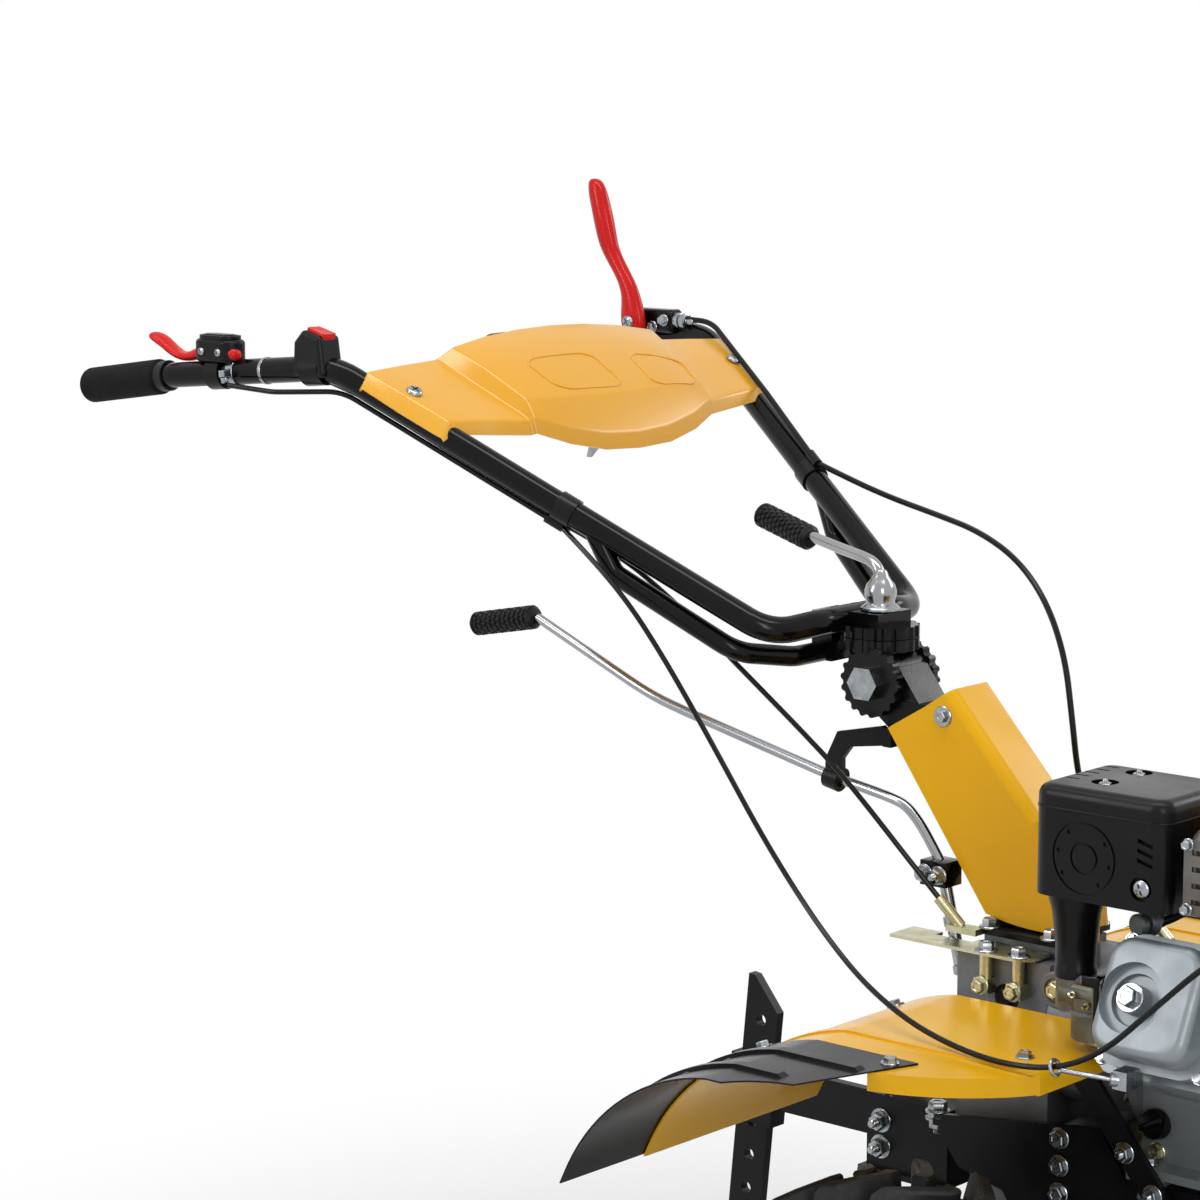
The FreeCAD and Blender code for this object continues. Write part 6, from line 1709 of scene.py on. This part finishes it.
    def exhaust(self) -> None:
        """Screws a slotted heat shield over the muffler's outer side and end."""
        at = self.frame.at
        shield = Bench.block("muffler_shield", at(196, -206, 704), at(288, -203.5, 768))
        Bench.round_corners(shield, 1, 10, 4)
        for row in range(4):
            for column in range(5):
                x, z = 204 + column * 17, 713 + row * 14
                slot = Bench.block("slot", at(x, -210, z), at(x + 10, -199, z + 4.5))
                Bench.modify(shield, "BOOLEAN", operation="DIFFERENCE", object=slot)
                bpy.data.objects.remove(slot)
        Bench.dress(Bench.done(shield), Finishes.EXHAUST, "muffler_steel")
        posts = [Bench.facing(at(x, -206, z), (0, -1, 0), 10) for x in (200, 284) for z in (708.5, 763.5)]
        Fasteners.fit("shield_screws", Fasteners.hex_bolt(8, 4, 5.5), posts)
        flange = [Bench.facing(at(239.2, -168 + 37 * a, 604), (1, 0, 0), 0) for a in (-0.1, 0.9)]
        Fasteners.fit("exhaust_nuts", Fasteners.nut(12, 7, 8, 6), flange, Finishes.YELLOW_ZINC, "zinc_steel")

    def build(self) -> None:
        """Builds the engine's pieces."""
        self.head()
        self.crankcase()
        self.intake()
        self.cleaner()
        self.tank()
        self.starter()
        self.exhaust()


# ------------------------------------------------------------------ column and handlebar


@dataclass
class Column:
    """Screws of the column cover, foot bolts and the swivel's fittings."""

    frame: Frame
    cover_face_mm: float = 33.0
    foot_top_mm: float = 610.0

    def lock_lever(self) -> None:
        """Turns the lock lever's bulbous hub and bends its rod up and back to the grip."""
        at = self.frame.at
        hub = Bench.turned("hub", [
            (16, 0), (17.5, 1.2), (17.5, 4), (14.2, 6.5), (13.6, 9), (15.2, 14), (15.4, 19), (13.6, 25),
            (10.2, 29), (7.8, 33), (6.2, 37), (4.5, 39)], 40)
        hub.data.transform(Matrix.Translation(at(-275, 0, 886.2)))
        rod = Bench.hose("rod", [
            at(-275, 0, 905), at(-275.5, 0.5, 916), at(-279, 1.5, 926), at(-290, 4, 932.5),
            at(-312, 8.5, 936), at(-346, 15.8, 940.5), at(-386, 24.5, 947.5)], 5.5)
        lever = Bench.join("lock_lever_rod", [hub, rod])
        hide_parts("lock_lever")
        Bench.dress(Bench.done(lever), Finishes.CHROME, "chrome", Body.HANDLEBAR)

    def build(self) -> None:
        """Bolts the column down and its cover on, and fits the lock lever."""
        self.lock_lever()
        at = self.frame.at
        cover = [Bench.facing(at(-176, side * self.cover_face_mm, 800), (0, side, 0), 30) for side in (1, -1)]
        Fasteners.fit("cover_bolts", Fasteners.hex_bolt(10, 4, 10), cover)
        feet = [Bench.facing(at(x, y, self.foot_top_mm), (0, 0, 1), x + y)
                for x in (-114, -46) for y in (-40, 40)]
        Fasteners.fit("column_foot_bolts", Fasteners.hex_bolt(13, 7, 10), feet)
        collar = Fasteners.ring(11.2, 19, 4, 36)
        Fasteners.fit("lock_lever_washer", collar, [Matrix.Translation(at(-275, 0, 886.1))],
                      body=Body.HANDLEBAR)


@dataclass
class DashCover:
    """Moulded cover across the arms: a raised plateau, flat wings and a lip over each tube.

    Each column of the sheet runs from the rear lip's foot over the top to the front skirt's foot.
    """

    frame: Frame
    wall_mm: float = 2.2
    bead_mm: float = 1.2
    roll_mm: float = 3.5
    crease_deg: float = 17.0
    columns: tuple[tuple[tuple[float, float, float], ...], ...] = (
        ((-701, 0, 1118), (-700, 0, 1138), (-652, 0, 1114.5), (-602, 0, 1075), (-580, 0, 1037),
         (-577, 0, 1020)),
        ((-701, 50, 1116), (-700, 50, 1136.5), (-652, 49, 1113.5), (-603, 48, 1075), (-582, 49, 1039.5),
         (-579, 49, 1022)),
        ((-699, 100, 1113), (-698, 100, 1132.5), (-652, 97, 1110.5), (-606, 93, 1076), (-588, 95, 1048),
         (-585, 95, 1031)),
        ((-695, 151, 1108), (-694, 151, 1125), (-654, 143, 1104), (-612, 133, 1077), (-599, 135, 1059),
         (-595, 135, 1044)),
        ((-703, 170, 1101), (-702, 168, 1113), (-656, 153, 1086.8), (-613, 139, 1062.2), (-603, 137, 1056.4),
         (-599, 137, 1042)),
        ((-699, 220, 1100), (-698.5, 219, 1111), (-657, 206, 1087.2), (-618, 193, 1065), (-609, 190, 1059.9),
         (-605, 190, 1046)),
        ((-696, 271, 1098), (-694, 270.5, 1108.4), (-657, 256, 1087.3), (-623, 242, 1068),
         (-614.5, 239, 1063), (-611, 238, 1050)),
        ((-694, 281.5, 1090), (-692, 281.5, 1093), (-655, 267, 1070.5), (-621, 253.3, 1051),
         (-612.5, 250, 1047), (-611, 249.6, 1044)))
    pads: tuple[tuple[tuple[float, float], ...], ...] = (
        ((-652, -96), (-649, 2), (-608, 13), (-613, -80)), ((-646, 56), (-640, 134), (-608, 126), (-607, 58)))

    def sheet(self) -> bpy.types.Object:
        """Shapes the cover from a grid, creases it and gives it its wall.

        Returns:
            The finished cover.
        """
        rows = len(self.columns[0])
        across = [[(x, -y, z) for x, y, z in column] for column in reversed(self.columns[1:])]
        across += [list(column) for column in self.columns]
        Bench.clear()
        bpy.ops.mesh.primitive_grid_add(x_subdivisions=len(across) - 1, y_subdivisions=rows - 1, size=2)
        cover = Bench.start("dash_panel")
        for vertex in cover.data.vertices:
            column = round((vertex.co.x + 1) / 2 * (len(across) - 1))
            row = round((vertex.co.y + 1) / 2 * (rows - 1))
            vertex.co = self.frame.at(*across[column][rows - 1 - row])
        Bench.modify(cover, "BEVEL", width=self.roll_mm * MM, segments=3, limit_method="ANGLE",
                     angle_limit=math.radians(self.crease_deg))
        cover = Bench.recalculated(cover)
        if sum(face.normal.z * face.area for face in cover.data.polygons) < 0:
            cover.data.flip_normals()
        Bench.modify(cover, "SOLIDIFY", thickness=self.wall_mm * MM, offset=-1.0)
        return cover

    def outline(self, cover: bpy.types.Object, corners: Sequence[tuple[float, float]]) -> bpy.types.Object:
        """Lays the raised bead that frames one pad.

        Args:
            cover: the cover that it lies on.
            corners: the pad's corners, in millimetres from above.

        Returns:
            The bead.
        """
        line = []
        for (x0, y0), (x1, y1) in zip(corners, (*corners[1:], corners[0])):
            for share in (0.14, 0.3, 0.5, 0.7, 0.86):
                above = self.frame.at(x0 + (x1 - x0) * share, y0 + (y1 - y0) * share, 1250)
                line.append(cover.ray_cast(above, Vector((0, 0, -1)))[1])
        middle = (line[0] + line[-1]) / 2
        return Bench.hose("pad_bead", [middle, *line, middle], self.bead_mm)

    def build(self) -> None:
        """Builds the cover and its two pads' beads."""
        cover = self.sheet()
        beads = [self.outline(cover, corners) for corners in self.pads]
        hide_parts("dash_cover")
        Bench.dress(Bench.done(cover, 32), Finishes.YELLOW_ABS, "yellow_cover", Body.HANDLEBAR)
        Bench.dress(Bench.join("dash_pad_beads", beads), Finishes.YELLOW_ABS, "yellow_cover", Body.HANDLEBAR)


@dataclass
class Handlebar:
    """Controls' fittings along the handlebar: clamps, screws, rocker, collars and the cover's screws."""

    frame: Frame
    wrist: tuple[float, float, float] = (-938.0, -300.0, 1092.0)
    high: tuple[float, float, float] = (-730.0, -280.0, 1110.0)
    end: tuple[float, float, float] = (-1064.5, -300.0, 1074.0)
    tube_radius_mm: float = 12.7
    grip_length_mm: float = 110.0
    clutch_pivot: tuple[float, float, float] = (-807.4, 253.2, 1121.5)
    throttle_pivot: tuple[float, float, float] = (-876.5, -294.1, 1097.3)
    band_at_mm: float = 84.0
    clip_at_mm: float = 122.0

    def along(self, share_mm: float) -> tuple[Vector, Vector]:
        """A point on the right arm's tube between wrist and cover, and the tube's direction there.

        Args:
            share_mm: its distance from the wrist.

        Returns:
            The point in metres, and the direction away from the wrist.
        """
        start, stop = self.frame.at(*self.wrist), self.frame.at(*self.high)
        aim = (stop - start).normalized()
        return start + aim * share_mm * MM, aim

    def bands(self) -> None:
        """Clamps the throttle to the tube with a bright band, and its cable with a thin ring."""
        inner = self.tube_radius_mm - 0.1
        band = Fasteners.ring(inner, self.tube_radius_mm + 1.5, 9, 40)
        ear = Bench.block("ear", (-0.0045, -0.024, 0.0005), (0.0045, -0.012, 0.0085))
        Bench.edit(ear, Pick.FACES, lambda f: f.normal.y < -0.9)
        bpy.ops.transform.resize(value=(0.75, 1, 0.9), center_override=(0, -0.024, 0.0045))
        Bench.clear()
        Bench.modify(ear, "BEVEL", width=0.0008, segments=2)
        bolt = Fasteners.hex_bolt(7, 3.5, 4.6)
        bolt.data.transform(Bench.facing((0.0045, -0.019, 0.0045), (1, 0, 0)))
        clamp = Bench.join("band", [band, ear, bolt])
        turn = Matrix(((0, 1, 0, 0), (-1, 0, 0, 0), (0, 0, 1, 0), (0, 0, 0, 1)))
        point, aim = self.along(self.band_at_mm)
        clamp.data.transform(Bench.facing(point - aim * 0.0045, aim) @ turn)
        clip = Fasteners.ring(inner, self.tube_radius_mm + 0.9, 3.5, 40)
        clip.data.transform(Bench.facing(*self.along(self.clip_at_mm)))
        Bench.dress(Bench.join("throttle_bands", [clamp, clip]), body=Body.HANDLEBAR)

    def rocker(self) -> None:
        """Sets the red rocker into the top of the stop switch."""
        rocker = Bench.block("stop_rocker", (-0.0125, -0.0085, -0.004), (0.0125, 0.0085, 0.004))
        Bench.round_corners(rocker, 2, 2.2, 3)
        Bench.edit(rocker, Pick.FACES, lambda f: f.normal.z > 0.9)
        bpy.ops.mesh.inset(thickness=0.0015, depth=0)
        bpy.ops.mesh.inset(thickness=0.0035, depth=-0.0009)
        Bench.clear()
        Bench.modify(rocker, "BEVEL", width=0.0004, segments=2, limit_method="ANGLE")
        tilt = Matrix.Rotation(math.radians(14), 4, "Y")
        rocker.data.transform(Matrix.Translation(self.frame.at(-745, -281.9, 1141.8)) @ tilt)
        Bench.dress(Bench.done(rocker), Finishes.RED_ABS, "red_plastic", Body.HANDLEBAR)

    def grips(self) -> None:
        """Adds the collar at the inner end of each foam grip."""
        places = []
        for side in (1, -1):
            start = self.frame.at(self.wrist[0], -self.wrist[1] * side, self.wrist[2])
            stop = self.frame.at(self.end[0], -self.end[1] * side, self.end[2])
            aim = (stop - start).normalized()
            places.append(Bench.facing(stop - aim * (self.grip_length_mm + 11) * MM, aim))
        Fasteners.fit("grip_collars", Fasteners.ring(self.tube_radius_mm - 0.2, 15.6, 11), places,
                      Finishes.GRIP_RUBBER, "grip_rubber", Body.HANDLEBAR)

    def clutch(self) -> None:
        """Fits the clutch lever's pivot screw, the perch bolt and the cable adjuster."""
        at = self.frame.at
        x, y, z = self.clutch_pivot
        Fasteners.fit("clutch_pivot", Fasteners.cross_screw(7, 3.5), [
            Bench.facing(at(x, y - 9, z), (0, -1, 0), 30)], body=Body.HANDLEBAR)
        Fasteners.fit("perch_bolts", Fasteners.hex_bolt(9, 5, 6.5), [
            Bench.facing(at(-772, 263.2, 1124), (0, -1, 0), 8),
            Bench.facing(at(-788, 263.2, 1116), (0, -1, 0), 25)],
            body=Body.HANDLEBAR)
        adjuster = Bench.turned("clutch_adjuster", [
            (5.8, 0), (8.4, 0.6), (8.4, 6), (6.4, 6.8), (6.4, 8.4), (8.4, 9), (8.4, 14.4), (6.2, 15),
            (4.4, 17), (4.4, 25), (3.4, 26)], 18)
        adjuster.data.transform(Bench.facing(at(-762, 273.5, 1123.5), (1, -0.03, 0)))
        Bench.dress(adjuster, body=Body.HANDLEBAR)

    def levers(self) -> None:
        """Draws out the clutch lever's curved blade and the throttle's thumb paddle."""
        at = self.frame.at
        x, y, z = self.clutch_pivot
        blade = Bench.drawn("clutch_blade", [
            (at(x + away, y, z + up), thick, wide) for away, up, thick, wide in (
                (1, -14, 13, 9), (0, -4, 18, 10), (-1, 10, 17, 10), (-3, 26, 13, 9), (-9, 42, 11.5, 8.5),
                (-22, 60, 11.5, 8.5), (-35, 78, 12.5, 9), (-40, 96, 13.5, 10), (-45, 116, 13.5, 10.5),
                (-51, 136, 13, 10), (-55, 150, 10.5, 8.5), (-57, 155, 5, 4))], "Z")
        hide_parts("clutch_lever")
        Bench.dress(blade, Finishes.RED_ENAMEL, "red_paint", Body.HANDLEBAR)
        x, y, z = self.throttle_pivot
        paddle = Bench.drawn("throttle_paddle", [
            (at(x - away, y + side, z + up), thick, wide) for away, side, up, thick, wide in (
                (13, 0, 21, 7, 8), (22, 0, 20, 8, 9), (32, 1, 18, 7, 9.5), (44, 2, 14, 5.5, 9),
                (58, 2, 13, 5, 9), (70, 0, 19, 5.5, 10), (80, -2, 27, 6, 11), (90, -4, 32, 6, 10.5),
                (97, -5, 33, 3, 6))], "X")
        tab = Bench.drawn("paddle_tab", [
            (at(x + away, y - 4, z + up), thick, wide) for away, up, thick, wide in (
                (12, 22, 6, 7), (24, 21, 8, 9), (31, 19, 6, 7))], "X")
        lever = Bench.join("throttle_paddle", [paddle, tab])
        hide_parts("throttle_lever")
        Bench.dress(lever, Finishes.RED_ABS, "red_plastic", Body.HANDLEBAR)
        cap = Bench.block("throttle_cap", at(x - 24, y - 13, z + 33.5), at(x + 24, y + 13, z + 38))
        Bench.round_corners(cap, 2, 12.5, 10)
        Bench.edit(cap, Pick.FACES, lambda f: f.normal.z > 0.9)
        bpy.ops.mesh.inset(thickness=0.0025, depth=0)
        bpy.ops.mesh.extrude_region_move(TRANSFORM_OT_translate={"value": (0, 0, -0.001)})
        bpy.ops.mesh.inset(thickness=0.003, depth=0)
        bpy.ops.mesh.extrude_region_move(TRANSFORM_OT_translate={"value": (0, 0, 0.002)})
        Bench.clear()
        Bench.modify(cap, "BEVEL", width=0.0005, segments=2, limit_method="ANGLE")
        Bench.dress(Bench.done(cap), Finishes.BLACK_ABS, "black_plastic", Body.HANDLEBAR)

    def throttle(self) -> None:
        """Screws the throttle body together."""
        at = self.frame.at
        Fasteners.fit("throttle_screws", Fasteners.cross_screw(4, 2.4), [
            Bench.facing(at(x, -309.1, 1119), (0, -1, 0), x) for x in (-888, -864)],
            body=Body.HANDLEBAR)

    def cover(self) -> None:
        """Screws the dash cover's wings to the tube and hangs the bracket tab under its middle."""
        at = self.frame.at
        wings = [Bench.facing(at(-657, side * 243, 1088.6), (0.5, side * 0.12, 0.867), 20)
                 for side in (1, -1)]
        Fasteners.fit("dash_screws", Fasteners.cross_screw(8, 3.6), wings, body=Body.HANDLEBAR)
        tab = Bench.block("cover_tab", at(-664, 20, 1020), at(-646, 23, 1101))
        Bench.edit(tab, Pick.FACES, lambda f: f.normal.z < -0.9)
        bpy.ops.mesh.extrude_region_move(TRANSFORM_OT_translate={"value": (-0.008, 0, -0.018)})
        bpy.ops.transform.resize(value=(0.35, 1, 1), center_override=at(-668, 21, 1002))
        Bench.clear()
        Bench.modify(tab, "BEVEL", width=0.0008, segments=2)
        Bench.dress(Bench.done(tab), body=Body.HANDLEBAR)

    def build(self) -> None:
        """Builds the handlebar's fittings."""
        self.bands()
        self.rocker()
        self.grips()
        self.clutch()
        self.levers()
        self.throttle()
        self.cover()


def main() -> None:
    """Builds the studio and every piece of the machine's looks."""
    logging.basicConfig(level=logging.INFO, format="%(name)s %(message)s")
    frame = Frame()
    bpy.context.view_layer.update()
    frame.paint()
    Studio(frame).build()
    Cable(frame, "throttle_cable", 5.2, 1071, THROTTLE_ROUTE, (-300, -185, 780), (-514, -192, 966)).build()
    Cable(frame, "reverse_cable", 5.2, 498, REVERSE_ROUTE, (-220, -76, 706), (-509, -178, 961)).build()
    Cable(frame, "clutch_cable", 6.0, 705, CLUTCH_ROUTE, (-130, 88, 940), (-499, 186, 995)).build()
    for hand, side in (("left", 1), ("right", -1)):
        Wheel(frame, hand, side).build()
    Fenders(frame).build()
    Chassis(frame).build()
    Gearbox(frame).build()
    GearShift(frame).build()
    Engine(frame).build()
    Column(frame).build()
    DashCover(frame).build()
    Handlebar(frame).build()


if __name__ == "__main__":
    main()
